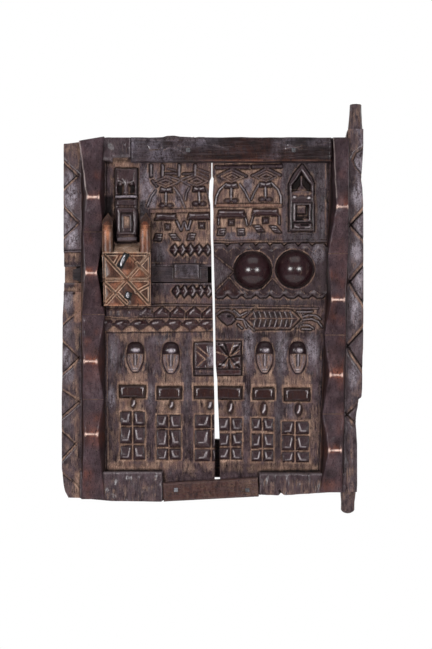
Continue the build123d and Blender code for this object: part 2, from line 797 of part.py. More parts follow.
export_step(right_plank.part, "parts/right_plank.step")

# ---- rails and batten --------------------------------------------------------------------------
with BuildPart() as top_rail:
    with BuildSketch(face_plane(rail_seat_level)):
        with Locations((top_rail_middle, rail_bottom)):
            Rectangle(top_rail_length, rail_height, align=(Align.CENTER, Align.MIN))
        with Locations(*top_nails):
            Rectangle(nail_hole, nail_hole, mode=Mode.SUBTRACT)
    extrude(amount=rail_thickness)
    chamfer(top_rail.faces().sort_by(Axis.Y)[0].outer_wire().edges(), rail_edge)
top_rail.part.label = "top_rail"
export_step(top_rail.part, "parts/top_rail.step")

with BuildPart() as bottom_rail:
    with BuildSketch(face_plane(rail_seat_level)):
        with Locations(bottom_rail_place):
            Rectangle(bottom_rail_length, bottom_rail_height)
        with Locations(*bottom_nails):
            Rectangle(nail_hole, nail_hole, mode=Mode.SUBTRACT)
    extrude(amount=rail_thickness)
    chamfer(bottom_rail.faces().sort_by(Axis.Y)[0].outer_wire().edges(), rail_edge)
bottom_rail.part.label = "bottom_rail"
export_step(bottom_rail.part, "parts/bottom_rail.step")

with BuildPart() as back_batten:
    with BuildSketch(face_plane(-batten_thickness)):
        with Locations((joint_x, batten_z)):
            Rectangle(2 * batten_reach, batten_height)
        with Locations(*batten_nails):
            Rectangle(nail_hole, nail_hole, mode=Mode.SUBTRACT)
    extrude(amount=batten_thickness)
    chamfer(back_batten.faces().sort_by(Axis.Y)[-1].outer_wire().edges(), rail_edge)
back_batten.part.label = "back_batten"
export_step(back_batten.part, "parts/back_batten.step")

# ---- nails -------------------------------------------------------------------------------------
rail_nail_length = rail_thickness + rail_nail_bite
batten_nail_length = batten_thickness + batten_nail_bite

with BuildPart() as top_rail_nails:
    with BuildSketch(face_plane(rail_level - rail_nail_length)):
        with Locations(*top_nails):
            Rectangle(nail_width, nail_width)
    extrude(amount=rail_nail_length)
    with BuildSketch(face_plane(rail_level)):
        with Locations(*top_nails):
            Rectangle(nail_head_width, nail_head_width)
    extrude(amount=nail_head_thickness)
top_rail_nails.part.label = "top_rail_nails"
export_step(top_rail_nails.part, "parts/top_rail_nails.step")

with BuildPart() as bottom_rail_nails:
    with BuildSketch(face_plane(rail_level - rail_nail_length)):
        with Locations(*bottom_nails):
            Rectangle(nail_width, nail_width)
    extrude(amount=rail_nail_length)
    with BuildSketch(face_plane(rail_level)):
        with Locations(*bottom_nails):
            Rectangle(nail_head_width, nail_head_width)
    extrude(amount=nail_head_thickness)
bottom_rail_nails.part.label = "bottom_rail_nails"
export_step(bottom_rail_nails.part, "parts/bottom_rail_nails.step")

with BuildPart() as back_batten_nails:
    with BuildSketch(face_plane(-batten_thickness)):
        with Locations(*batten_nails):
            Rectangle(nail_width, nail_width)
    extrude(amount=batten_nail_length)
    with BuildSketch(face_plane(-batten_thickness)):
        with Locations(*batten_nails):
            Rectangle(nail_head_width, nail_head_width)
    extrude(amount=-nail_head_thickness)
back_batten_nails.part.label = "back_batten_nails"
export_step(back_batten_nails.part, "parts/back_batten_nails.step")

# ---- lock case: a box with two horns, chiselled out behind -------------------------------------
well_floor = tumbler_rest_z - tumbler_drop + tumbler_length - tumbler_clearance
well_top = tumbler_rest_z + tumbler_length + tumbler_head_height + tumbler_lift + tumbler_clearance
tumbler_xs = [case_middle + offset for offset in tumbler_offsets]

with BuildPart() as lock_case:
    case_waist = (case_top + case_bottom) / 2
    with BuildSketch(face_plane(ground)):
        with BuildLine():
            Polyline(
                (case_left + case_foot_inset, case_bottom),
                (case_right, case_bottom),
                (case_right, case_top),
                (case_left, case_top),
                close=True,
            )
        make_face()
        for left in (case_left, case_right - horn_width):
            with BuildLine():
                Polyline(
                    (left, case_top),
                    (left + horn_width, case_top),
                    (left + horn_width, case_top + horn_height - horn_arch_drop),
                    (left + horn_width / 2, case_top + horn_height),
                    (left, case_top + horn_height - horn_arch_drop),
                    close=True,
                )
            make_face()
    extrude(amount=case_level - ground)
    # The horns turn back above their shoulders.
    with BuildSketch(Plane.YZ.offset(case_middle)):
        with BuildLine():
            Polyline(
                (pivot_depth - case_level, case_top + horn_shoulder),
                (pivot_depth - horn_tip_level, case_top + horn_height),
                (pivot_depth - case_level, case_top + horn_height),
                close=True,
            )
        make_face()
    extrude(amount=case_width, both=True, mode=Mode.SUBTRACT)
    # The slope between the horns.
    with BuildSketch(Plane.YZ.offset(case_middle)):
        with BuildLine():
            Polyline(
                (pivot_depth - ground, case_top),
                (pivot_depth - case_level, case_top),
                (pivot_depth - ground, case_top + case_apron),
                close=True,
            )
        make_face()
    extrude(amount=case_width / 2 - horn_width, both=True)
    # The bolt's passage, the tumblers' wells and the staples' holes.
    with BuildSketch(face_plane(ground)):
        with Locations((case_middle, bolt_z)):
            Rectangle(case_width, bolt_height + 2 * bolt_clearance)
    extrude(amount=bolt_front + bolt_clearance - ground, mode=Mode.SUBTRACT)
    shank_well = tumbler_width + 2 * tumbler_clearance
    head_well = tumbler_head_width + 2 * tumbler_clearance
    with BuildSketch(face_plane(ground)):
        with Locations(*[(x, well_top) for x in tumbler_xs]):
            Rectangle(shank_well, well_top - bolt_z, align=(Align.CENTER, Align.MAX))
            Rectangle(head_well, well_top - well_floor, align=(Align.CENTER, Align.MAX))
    well_front = tumbler_level + tumbler_width / 2 + tumbler_clearance
    extrude(amount=well_front - ground, mode=Mode.SUBTRACT)
    with BuildSketch(face_plane(ground)):
        with Locations(*staples):
            Rectangle(nail_hole, nail_hole)
    extrude(amount=case_level - ground, mode=Mode.SUBTRACT)
    # The cross and the bars cut into its face.
    face_lines = path((case_left, case_top), (case_right, case_bottom))
    face_lines += path((case_left, case_bottom), (case_right, case_top))
    face_lines += path((case_left, case_waist), (case_right, case_waist))
    face_lines += path((case_middle, case_top), (case_right, case_waist))
    face_lines += path((case_left, case_waist), (case_middle, case_bottom))
    add(grooves(face_lines, case_level), mode=Mode.SUBTRACT)
lock_case.part.label = "lock_case"
export_step(lock_case.part, "parts/lock_case.step")

# ---- bolt --------------------------------------------------------------------------------------
with BuildPart() as lock_bolt:
    half = bolt_height / 2
    tip_half = bolt_tip_height / 2
    with BuildSketch(face_plane(bolt_floor + bolt_clearance)):
        with BuildLine():
            Polyline(
                (bolt_left, bolt_z - tip_half),
                (bolt_left + bolt_tip_length, bolt_z - half),
                (bolt_right, bolt_z - half),
                (bolt_right, bolt_z + half),
                (bolt_left + bolt_tip_length, bolt_z + half),
                (bolt_left, bolt_z + tip_half),
                close=True,
            )
        make_face()
    extrude(amount=bolt_thickness)
    with BuildSketch(face_plane(ground + bolt_clearance)):
        with Locations(((grip_left + grip_right) / 2, bolt_z + grip_lift)):
            Rectangle(grip_length, grip_height)
    extrude(amount=grip_level - ground - bolt_clearance, taper=grip_taper)
    # The tumblers' pockets stand under the tumblers once the bolt is thrown.
    pockets = [(x + bolt_throw, bolt_z + half) for x in tumbler_xs]
    pocket_width = tumbler_width + 2 * tumbler_pocket_clearance
    with BuildSketch(face_plane(tumbler_level - pocket_width / 2)):
        with Locations(*pockets):
            Rectangle(pocket_width, half + key_drop, align=(Align.CENTER, Align.MAX))
    extrude(amount=pocket_width, mode=Mode.SUBTRACT)
    key_left = min(tumbler_xs) + bolt_throw - key_end
    with BuildSketch(face_plane(key_level - key_width / 2)):
        with Locations((key_left, bolt_z - key_drop)):
            Rectangle(bolt_right - key_left, key_height, align=(Align.MIN, Align.CENTER))
    extrude(amount=key_width, mode=Mode.SUBTRACT)
lock_bolt.part.label = "lock_bolt"
export_step(lock_bolt.part, "parts/lock_bolt.step")

# ---- tumblers ----------------------------------------------------------------------------------
for number, x in enumerate(tumbler_xs, start=1):
    with BuildPart() as tumbler:
        with BuildSketch(face_plane(tumbler_level - tumbler_width / 2)):
            with Locations((x, tumbler_rest_z)):
                Rectangle(tumbler_width, tumbler_length, align=(Align.CENTER, Align.MIN))
            with Locations((x, tumbler_rest_z + tumbler_length)):
                Rectangle(tumbler_head_width, tumbler_head_height, align=(Align.CENTER, Align.MIN))
        extrude(amount=tumbler_width)
    tumbler.part.label = f"tumbler_{number}"
    export_step(tumbler.part, f"parts/tumbler_{number}.step")

# ---- staples: a dished plate on the case, and a shank bent over behind the plank ---------------
plates = (
    ("upper_lock_staple", staples[0], upper_plate_width, upper_plate_height, upper_staple_tilt),
    ("lower_lock_staple", staples[1], lower_plate_width, lower_plate_height, lower_staple_tilt),
)
for name, (x, z), width, height, tilt in plates:
    with BuildPart() as staple:
        with BuildSketch(face_plane(case_level)):
            with Locations(Location((x, z), tilt)):
                Rectangle(width, height)
        extrude(amount=staple_plate)
        with BuildSketch(face_plane(case_level + staple_plate - plate_dish)):
            with Locations(Location((x, z), tilt)):
                Rectangle(width - 2 * plate_rim, height - 2 * plate_rim)
        extrude(amount=plate_dish, mode=Mode.SUBTRACT)
        with BuildSketch(face_plane(-nail_width)):
            with Locations((x, z)):
                Rectangle(nail_width, nail_width)
        extrude(amount=case_level + nail_width)
        with BuildSketch(face_plane(-nail_width)):
            with Locations((x, z + nail_width / 2)):
                Rectangle(nail_width, staple_clinch, align=(Align.CENTER, Align.MAX))
        extrude(amount=nail_width)
    staple.part.label = name
    export_step(staple.part, f"parts/{name}.step")
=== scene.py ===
from math import cos, pi, radians, sin

import bpy
import numpy as np
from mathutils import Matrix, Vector
from mathutils.geometry import delaunay_2d_cdt


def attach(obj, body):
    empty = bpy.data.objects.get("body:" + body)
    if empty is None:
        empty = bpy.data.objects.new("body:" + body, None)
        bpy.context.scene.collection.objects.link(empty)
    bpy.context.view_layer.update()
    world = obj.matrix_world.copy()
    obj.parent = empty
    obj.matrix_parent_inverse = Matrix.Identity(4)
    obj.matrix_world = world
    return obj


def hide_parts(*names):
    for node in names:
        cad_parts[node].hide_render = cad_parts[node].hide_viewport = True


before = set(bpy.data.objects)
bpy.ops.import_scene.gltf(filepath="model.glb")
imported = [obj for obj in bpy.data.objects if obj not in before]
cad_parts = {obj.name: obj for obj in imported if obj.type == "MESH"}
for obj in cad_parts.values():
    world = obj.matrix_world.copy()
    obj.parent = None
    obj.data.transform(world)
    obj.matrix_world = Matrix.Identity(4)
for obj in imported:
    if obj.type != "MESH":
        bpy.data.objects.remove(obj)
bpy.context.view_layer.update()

# Places on the door's face are counted on a 2 mm grid: u to the right, v downwards. Levels are in mm
# forward of the planks' back face, and the frame itself is in metres.
PITCH = 2.0
U0, V0 = 348.2, 506.0  # the frame's origin on that grid
PIVOT_DEPTH = 18.0

GROUND = 24.0  # the carved fields
BAND = 36.0  # the bands along the door's two side edges
CORNER = 42.0  # the raised corners beside the rails
SEAT = 22.0  # the floors that carry both rails
RECESS = 27.0  # the sunk places above the tall figure and where the bolt leaves the door
WAIST, CREST = 46, 64  # the ridges, where they are slack and where they peak
EDGE_FLOOR, FIELD_FLOOR = 33.0, 19.0  # the ridges' feet, towards the band and towards the field
BOLT_V, CHANNEL_HALF, CHANNEL_FLOOR = 274.5, 7.9, 11.8
TUNNEL_ROOF = 36.4

# What each point carries for its material. The dark tone is mostly painted shade: in creases and hollows, at
# the feet and steep sides of forms, and as painted shadows; a little of it is darker wood.
# The wear tone is bare wood on worn edges and also painted highlights; the copper tone is a copper colour,
# and on the ridges' peaks and the lock's horns a painted highlight; the pale tone is paler wood, and on the
# masks' brows, the bolt's grip and the iron plates a painted highlight.
TONES = ("mud", "wear", "shine", "pale", "red", "dark", "copper")


def to_x(u):
    return (np.asarray(u, float) - U0) * PITCH / 1000


def to_z(v):
    return (V0 - np.asarray(v, float)) * PITCH / 1000


def to_y(level):
    return (PIVOT_DEPTH - np.asarray(level, float)) / 1000


def placed(u, v, level):
    """A list of points in the frame."""
    return np.stack([to_x(u), to_y(level), to_z(v)], axis=-1).reshape(-1, 3)


# ---- numbers over a surface --------------------------------------------------------------------
def ramp(value):
    """A value held between 0 and 1."""
    return np.clip(value, 0, 1)


def fade(distance, reach):
    """1 at a place, and down to 0 at its reach."""
    return np.clip(1 - distance / reach, 0, 1)


def bell(value, width):
    return np.exp(-((value / width) ** 2))


def noise(a, b, period, seed):
    """Smooth value noise from -1 to 1."""
    count = 128
    table = np.random.default_rng(seed).uniform(-1, 1, (count, count))
    a, b = np.asarray(a, float) / period, np.asarray(b, float) / period
    ia, ib = np.floor(a).astype(int), np.floor(b).astype(int)
    fa, fb = a - ia, b - ib
    fa, fb = fa * fa * (3 - 2 * fa), fb * fb * (3 - 2 * fb)
    near_a, far_a, near_b, far_b = ia % count, (ia + 1) % count, ib % count, (ib + 1) % count
    low = table[near_a, near_b] * (1 - fa) + table[far_a, near_b] * fa
    high = table[near_a, far_b] * (1 - fa) + table[far_a, far_b] * fa
    return low * (1 - fb) + high * fb


def noise3(p, period, seed):
    """The same for points in space, in mm."""
    upright = noise(p[:, 0] + 0.6 * p[:, 1], p[:, 2], period, seed)
    crossing = noise(p[:, 1] - 0.4 * p[:, 0], p[:, 2] + 31, period, seed + 1)
    return (upright + crossing) / 2


def blur(field, radius):
    """A box blur, twice, along both axes of a grid."""
    for axis in (0, 1, 0, 1):
        wide = np.pad(field, [(radius + 1, radius) if k == axis else (0, 0) for k in (0, 1)], mode="edge")
        total = np.cumsum(wide, axis=axis)
        high = np.take(total, np.arange(2 * radius + 1, wide.shape[axis]), axis=axis)
        low = np.take(total, np.arange(0, wide.shape[axis] - 2 * radius - 1), axis=axis)
        field = (high - low) / (2 * radius + 1)
    return field


def distance_to(u, v, points):
    """How far each place is from a line of several stretches."""
    best = np.full(u.shape, 1e9)
    for (ua, va), (ub, vb) in zip(points, points[1:]):
        du, dv = ub - ua, vb - va
        t = ramp(((u - ua) * du + (v - va) * dv) / max(du * du + dv * dv, 1e-9))
        best = np.minimum(best, np.hypot(u - ua - t * du, v - va - t * dv))
    return best


# ---- relief on a grid --------------------------------------------------------------------------
class Relief:
    """Heights over a grid of places, and each place's tones. Everything is cut a little unevenly."""

    def __init__(self, u, v):
        self.u = u + 0.32 * noise(u, v, 9, 11) + 0.16 * noise(u, v, 3.1, 12)
        self.v = v + 0.32 * noise(u, v, 9, 13) + 0.16 * noise(u, v, 3.1, 14)
        self.h = np.full(u.shape, GROUND)
        for tone in TONES:
            setattr(self, tone, np.zeros(u.shape))
        # Uneven ground with fine upright tool marks.
        self.mud += 0.1
        self.h += 0.9 * noise(self.u, self.v, 16, 21) + 0.5 * noise(self.u, self.v, 5, 22)
        self.h += 0.50 * noise(self.u * 9, self.v, 11, 23) + 0.35 * noise(self.u * 5, self.v * 1.4, 4, 24)

    # Distances in grid units, positive inside.
    def box(self, u0, u1, v0, v1):
        across, along = np.minimum(self.u - u0, u1 - self.u), np.minimum(self.v - v0, v1 - self.v)
        return np.minimum(across, along)

    def ellipse(self, u, v, ru, rv):
        return (1 - np.hypot((self.u - u) / ru, (self.v - v) / rv)) * min(ru, rv)

    def line(self, points, width):
        return width / 2 - distance_to(self.u, self.v, points)

    def polygon(self, *points):
        inside = np.zeros(self.u.shape, bool)
        loop = [*points, points[0]]
        for (ua, va), (ub, vb) in zip(loop, loop[1:]):
            if va != vb:
                crosses = (va > self.v) != (vb > self.v)
                at = (ub - ua) * (self.v - va) / (vb - va) + ua
                inside ^= crosses & (self.u < at)
        distance = -self.line(loop, 0)
        return np.where(inside, distance, -distance)

    # Forms.
    def stamp(self, d, top, shine=0.0, red=0.0, outline=0.75):
        """A form whose top is given. A line of painted shade runs round its foot, with a thin line of mud
        just outside it, and its steep edge is darkened as painted shade.
        """
        on = (d > 0) & (top > self.h - 0.01)
        free = ~on & (self.h < top + 2)
        ring = ramp(1.25 - np.abs(d + 0.4) / 0.8) * outline
        rim = fade(np.abs(d + 1.7), 0.8) * min(1, outline + 0.2)
        foot = np.maximum(self.dark * (1 - 0.7 * rim), ring)
        self.mud = np.where(on, 0.0, np.where(free, np.maximum(self.mud, 0.8 * rim), self.mud))
        self.dark = np.where(free, foot, np.where(on, fade(d, 0.7) * 0.6 * outline, self.dark))
        self.h = np.where(free, self.h - 0.7 * ring, np.where(on, top, self.h))
        for tone, value in (("pale", 0), ("wear", 0), ("shine", shine), ("red", red)):
            setattr(self, tone, np.where(on, value, getattr(self, tone)))

    def rise(self, d, rise, edge, lip=0.3, bend=1.7, **look):
        """A form that stands up from the ground: a steep lip, and a top that is faceted (1) or round (2)."""
        self.stamp(d, GROUND + rise * (lip + (1 - lip) * (1 - (1 - ramp(d / edge)) ** bend)), **look)

    def slab(self, u0, u1, v0, v1, rise, edge, **look):
        self.rise(self.box(u0, u1, v0, v1), rise, edge, **look)

    def flat(self, d, level, edge=0.8):
        """Takes the surface to a level, up or down."""
        t = ramp(d / edge)
        self.h = np.where(d > 0, self.h * (1 - t) + level * t, self.h)

    def roughen(self, d, amount):
        self.h = np.where(d > 0, self.h + amount, self.h)

    def cut(self, d, depth, edge, mud=0.0, dark=0.0):
        """A hollow with sloping sides. Its dark tone is painted shade in the hollow; its mud tone is mud."""
        t = ramp(d / edge)
        self.h -= depth * t
        self.mud = np.maximum(self.mud * (1 - t * (mud == 0)), mud * t)
        self.dark = np.maximum(self.dark * (1 - t * (dark == 0)), dark * t)

    def groove(self, points, width, depth, edge, **tones):
        self.cut(self.line(points, width), depth, edge, **tones)

    # Tones.
    def tint(self, d, width, **tones):
        t = ramp(d / width + 0.5)
        for tone, value in tones.items():
            setattr(self, tone, getattr(self, tone) * (1 - t) + value * t)

    def wash(self, u0, u1, v0, v1, width, **tones):
        self.tint(self.box(u0, u1, v0, v1), width, **tones)

    def stroke(self, points, wide, width, **tones):
        self.tint(self.line(points, wide), width, **tones)

    def glint(self, points, wide, wear, width=0.9, **tones):
        """A painted highlight: a light line along an edge, in the same tone as worn bare wood."""
        self.stroke(points, wide, width, wear=wear, dark=0.0, **tones)

    def soil(self, *patches):
        """Mud over fields, each a box and how muddy it is; 0 cleans it."""
        for *box, mud in patches:
            self.wash(*box, 5.0, mud=0.85 * mud)

    def bleach(self, spread, *spots, **tones):
        """Pale spots, each an ellipse and how pale it is."""
        for *ellipse, pale in spots:
            self.tint(self.ellipse(*ellipse), spread, mud=0.0, pale=pale, **tones)


# ---- carved motifs -----------------------------------------------------------------------------
def moved(points, du=0, dv=0):
    return [(a + du, b + dv) for a, b in points]


def chevron(r, points, width=3.8):
    """A V cut along a border band: muddy grooves, each arm with a deeper cut along one side that is darkened
    as painted shade.
    """
    r.groove(points, width, 0.6 * width, 1.3, mud=0.72)
    for arm, shift in ((points[:2], 0.37 * width), (points[1:], -0.37 * width)):
        r.groove(moved(arm, dv=shift), 0.4 * width, 0.4 * width, 0.6, dark=0.95)


def stud(r, ua, ub, va, vb, first):
    """A face that leans back to its lower edge. A painted highlight runs along that edge and the inner edge
    towards the stud beside it, and its rim is darkened as painted shade.
    """
    wide, tall = ub - ua, vb - va
    skew = 0.06 * sin(ua * 1.7 + va * 2.3)
    steep, gentle = (0.1, 0.26), (0.8, 0.6)
    inner, outer = ua + (0.20 + skew) * wide, ub - 0.26 * wide
    (lip_a, run_a), (lip_b, run_b) = steep, gentle
    if first:
        inner, outer = ub - (0.20 + skew) * wide, ua + 0.26 * wide
        (lip_a, run_a), (lip_b, run_b) = gentle, steep
    planes = (
        lip_a + (1 - lip_a) * (r.u - ua) / (run_a * wide),
        lip_b + (1 - lip_b) * (ub - r.u) / (run_b * wide),
        0.10 + 0.90 * (vb - r.v) / (0.27 * tall),
        0.60 + 0.40 * (r.v - va) / (0.73 * tall),
        0.20 + 0.80 * (r.v - va) / (0.14 * tall),
    )
    d = r.box(ua - 0.1, ub + 0.1, va - 0.1, vb + 0.1)
    r.stamp(d, GROUND - 0.8 + 8.6 * np.min(planes, axis=0), shine=0.6, red=0.1, outline=0)
    r.dark = np.where(d > 0, 0.55 * ramp(1.2 - d / 1.6), r.dark)
    crest = vb - (0.26 + skew) * tall
    r.glint([(inner, va + 0.2 * tall), (inner + (outer - inner) * 0.34, crest), (outer, crest)], 0.8, 0.5)


def studs(r, columns, rows):
    """Two columns of cut studs in mud."""
    border = 1.6
    ground = r.box(columns[0][0] - border, columns[1][1] + border, rows[0][0] - border, rows[-1][1] + border)
    r.cut(ground, 1.6, 1)
    r.tint(ground, 1.5, mud=1)
    for column in columns:
        for row in rows:
            stud(r, *column, *row, first=column is columns[0])


def block(r, u0, u1, v0, v1):
    """A long polished block in a muddy frame that is broad above it. The block is darkened, most at its rim
    as painted shade, and painted highlights mark its two upper corners.
    """
    r.cut(r.box(u0 - 1.6, u1 + 1.6, v0 - 1.6, v1 + 1.6), 1.4, 0.8)
    r.wash(u0 - 2.4, u1 + 2.4, v0 - 4, v1 + 1.8, 0.8, mud=1.15)
    d = r.box(u0 + 0.2, u1 - 0.2, v0 + 0.3, v1 - 0.3)
    swell = 0.5 + 0.5 * (1 - fade(d, 2.6) ** 1.8)
    r.stamp(d, GROUND + (8.6 + 1.6 * (r.v - v0) / (v1 - v0)) * swell, shine=0.8, red=1.2, outline=1)
    r.dark = np.where(d > 0, np.maximum(r.dark, 0.26 + 0.3 * ramp(2 - d)), r.dark)
    for end, way in ((u0 + 2.2, 1), (u1 - 2.2, -1)):
        r.glint([(end + 2.2 * way, v0 + 2.4), (end + 0.5 * way, v0 + 2.6), (end, v0 + 5)], 0.7, 0.55)


def nub(r, u, v, tall=4.2):
    """A small drop-shaped knob on its own, with painted shade round it and a painted highlight down one side.
    """
    r.tint(r.ellipse(u - 0.6, v + 0.6, 5.4, tall + 1.8), 3, dark=0.55, red=0.6)
    drop = r.ellipse(u, v, 2.7 + 0.2 * (tall - 4.2), tall)
    r.rise(drop, 9, 2.6, lip=0.15, bend=1.5, shine=0.7, red=0.5, outline=0.6)
    r.glint([(u + 1.1, v - 0.67 * tall), (u + 0.8, v), (u - 1, v + 0.48 * tall)], 1, 1)


def parallelogram(r, u, v, lean):
    upper, lower = (u - 4.4 + lean, v - 3.3), (u + 4.4 - lean, v + 3.3)
    d = r.polygon(upper, (u + 2.6 + lean, v - 3.3), lower, (u - 2.6 - lean, v + 3.3))
    r.rise(d, 4.6, 1, lip=0.45, shine=0.7, red=0.3, outline=1)
    # Two sunk lines darkened as painted shade, each with a painted highlight above it.
    for k in (-1.2, 1.4):
        r.groove([(u - 2.4 + lean * 0.3, v + k), (u + 2.4 - lean * 0.3, v + k)], 1, 1.8, 0.5, dark=0.4)
        r.glint([(u - 1.6 + lean, v + k - 1.2), (u + 2.2 + lean, v + k - 1.2)], 0.6, 0.5, 0.8)


def lozenges(r, centres, v, half_u, half_v):
    """A row of cut lozenges, corner to corner."""
    r.slab(centres[0] - half_u, centres[-1] + half_u, v - half_v * 0.5, v + half_v * 0.5, 4.2, 1.4,
           shine=0.8, outline=0.5)
    for u in centres:
        a, b = np.abs(r.u - u) / half_u, np.abs(r.v - v) / half_v
        top = GROUND + 8 * np.minimum(1, 0.45 + 0.85 * (1 - a - b))
        r.stamp((1 - a - b) * 2.6, top, shine=0.9, red=0.3, outline=0.9)
        # A painted highlight down each lozenge's right side.
        r.glint([(u, v - half_v * 0.6), (u + half_u * 0.5, v), (u, v + half_v * 0.6)], 0.7, 0.6, 0.8)


def standing_sign(r, u, top, height, cap):
    """A polished head bar and foot bar with a stem between them."""
    foot = top + height
    r.slab(u - 1.3, u + 1.3, top + 3, foot - 2, 4.6, 1.2, shine=0.55)
    outer, inner = cap / 2, cap * 0.42
    head = r.polygon((u - outer, top + 5.4), (u - inner, top + 0.4), (u + inner, top), (u + outer, top + 5.2))
    r.rise(head, 7.5, 2.4, lip=0.2, shine=1, outline=1)
    r.groove([(u, top + 2.6), (u, top + 6)], 2, 2.4, 1)
    # Painted highlights on the head bar, down the stem and on the foot.
    for ua, va, ub, vb in (
        (u - cap * 0.36, top + 2, u - cap * 0.12, top + 3),
        (u + cap * 0.12, top + 2.8, u + cap * 0.34, top + 1.8),
        (u - 0.4, top + 6, u - 0.4, foot - 6),
        (u - cap * 0.3, foot - 3.2, u - cap * 0.14, foot - 2.6),
    ):
        r.glint([(ua, va), (ub, vb)], 0.9, 0.45)
    for side in (-1, 1):
        end = r.ellipse(u + side * cap * 0.28, foot - 2.2, cap * 0.26, 2.4)
        r.rise(end, 5.6, 2, lip=0.2, shine=0.9, outline=0.8)


def hat(r, u, v, half_u, half_v):
    """A lozenge drawn in ribs over sunk lines that are darkened as the ribs' painted shade, with a smaller
    one inside.
    """
    for k, rise in ((1, 4.6), (0.48, 3.8)):
        a, b = half_u * k, half_v * k
        ring = [(u - a, v), (u, v - b), (u + a, v), (u, v + b), (u - a, v)]
        r.groove(moved(ring[:3], dv=1.7), 1.3, 1.6, 0.6, dark=0.9)
        d = r.line(ring, 1.7)
        r.rise(d, rise, 0.85, outline=0.4)
        r.tint(d - 0.2, 0.8, mud=1.3, dark=0)


def rib(r, points, rise=3.8, width=1.7, shine=0.25, pale=0, outline=0.6):
    """A raised line; a dull one is muddy."""
    d = r.line(points, width)
    r.rise(d, rise, width / 2, shine=shine, outline=outline)
    r.tint(d, 0.6, pale=pale, mud=0.6 * (shine < 0.5))


def bar(r, u0, u1, v0, v1):
    """A thick polished bar with sloping ends, and painted highlights along its upper edge."""
    d = r.polygon((u0, v1), (u0 + 2.4, v0), (u1 - 2.2, v0), (u1, v1))
    r.rise(d, 8, 2.8, lip=0.2, shine=0.9, red=0.3, outline=1)
    for a, b, wear in ((u0 + 3, u0 + 7.5, 0.5), (u0 + 9, u1 - 8, 0.15), (u1 - 6.5, u1 - 3.6, 0.4)):
        r.glint([(a, v0 + 2.3), (b, v0 + 2.2)], 0.9, wear)


def cube(r, u, v, half_u, rise, edge, lip):
    r.slab(u - half_u, u + half_u, v - 2.8, v + 2.8, rise, edge, lip=lip, shine=1, outline=1)


def halo(r, u, v, ru, rv):
    """The mud around a mask and under its chin."""
    r.tint(1 - np.abs(r.ellipse(u, v, ru, rv) + 1.2), 0.8, mud=0.7)
    r.wash(u - ru, u + ru, v + rv * 0.95, v + rv + 10, 4, mud=0.8)


def rail_seats(r, u0, u1):
    """The seat of the top rail between two places, and the slanting seat of the bottom rail."""
    r.flat(r.box(u0, u1, 100, 162.6), SEAT, 0.5)
    tilt = radians(3.2)
    du, dv = r.u - 210.7, r.v - 489
    along, across = du * cos(tilt) - dv * sin(tilt), du * sin(tilt) + dv * cos(tilt)
    r.flat(np.minimum(47.7 - np.abs(along), 9.7 - np.abs(across)), SEAT, 0.5)


def lower_rows(r, blocks, nubs, stud_fields):
    """The rows under the masks: long blocks, small nubs and fields of studs."""
    for place in blocks:
        block(r, *place)
    for place in nubs:
        nub(r, *place)
    for columns, rows in stud_fields:
        studs(r, columns, rows)


# ---- left plank --------------------------------------------------------------------------------
def left_soil(r):
    """Mud lies in the fields; the plain grounds are worn dark, with pale spots."""
    r.soil(
        (146, 213, 160, 214, 0.62), (148, 213, 214, 246, 0.85), (104, 112, 160, 300, 0.25),
        (152, 214, 258, 266, 0.4), (112, 140, 158, 166, 0.8), (153, 170, 240, 262, 0),
        (150, 214, 296, 308, 0.55), (105, 150, 298, 308, 0.4), (105, 214, 332, 344, 0.8),
        (105, 118, 336, 470, 0.3), (118, 146, 374, 386, 0.95), (156, 182, 375, 387, 0.95),
        (193, 214, 376, 387, 0.85), (105, 214, 460, 471, 0.7), (118, 146, 398, 412, 0.95),
        (156, 182, 399, 413, 0.95), (194, 214, 399, 413, 0.85), (146, 156, 380, 460, 0.05),
        (183, 193, 380, 460, 0.05), (145, 160, 338, 372, 0.25), (182, 192, 338, 372, 0.2),
        (106, 124, 340, 372, 0.1))
    r.bleach(
        4, (151, 184, 7, 20, 0.55), (178, 202, 4, 8, 0.5), (142, 198, 5, 32, 0.5), (151, 200, 4, 8, 0.6),
        (185, 190, 5, 7, 0.4), (161, 252, 7, 9, 0.3), (113, 352, 4, 16, 0.5), (111, 398, 4, 10, 0.7),
        (151, 396, 4, 12, 0.3), (187, 380, 4, 30, 0.2), (118, 236, 4, 10, 0.2), (160, 340, 12, 5, 0.2))


def left_band(r):
    """The border band along the left edge, with its chevrons and the place where the bolt comes out."""
    band = 84 - r.u
    r.flat(band, BAND)
    r.tint(band, 2, mud=0.35, shine=0.2, pale=0.08)
    r.bleach(
        4, (71, 196, 6, 13, 0.95), (69, 180, 5, 8, 0.6), (72, 237, 6, 12, 1), (66, 222, 3, 10, 0.8),
        (68, 300, 5, 10, 0.5), (67, 357, 4, 9, 0.7), (69, 376, 6, 7, 0.4), (67, 330, 4, 8, 0.35),
        (66, 402, 3, 8, 0.2), (68, 424, 5, 8, 0.2), shine=0.4)
    for points in (
        ((61, 159), (78.6, 175.8), (61, 192.5)), ((61, 204), (79.4, 223), (61, 241)),
        ((61, 326), (74, 315), (80, 308)), ((61, 339), (80, 357.5), (61, 376)),
        ((61, 388), (80.5, 401), (61, 418)), ((61, 429), (76, 443.5), (61, 461)),
        ((61, 471), (72, 480), (80, 488)),
    ):
        chevron(r, points)
    r.wash(75.5, 81.5, 300, 498, 1.6, mud=0.75, pale=0)
    r.wash(78.5, 81.5, 150, 250, 1.2, mud=0.55)
    # A painted shadow line along the top of the recess.
    r.groove([(61, 250.6), (83, 250.2)], 1.7, 2.4, 0.8, dark=0.9)
    recess = r.box(55, 88, 252, 292)
    r.flat(recess, RECESS, 1.2)
    r.tint(recess, 2, mud=0.55, pale=0, shine=0)
    # Painted shade round the bolt's end.
    r.tint(r.ellipse(81, BOLT_V, 12, 9), 4, mud=0, dark=0.55)
    r.wash(74.5, 84, 281, 322, 2.5, mud=1.1, copper=0.35, pale=0, dark=0)
    for v_line in (291.4, 293.8):
        r.groove([(61, v_line), (73.5, v_line + 0.2)], 1, 0.8, 0.4, mud=1.2)
    r.cut(r.ellipse(74.4, 293, 1.6, 1.8), 3.5, 1, dark=1)


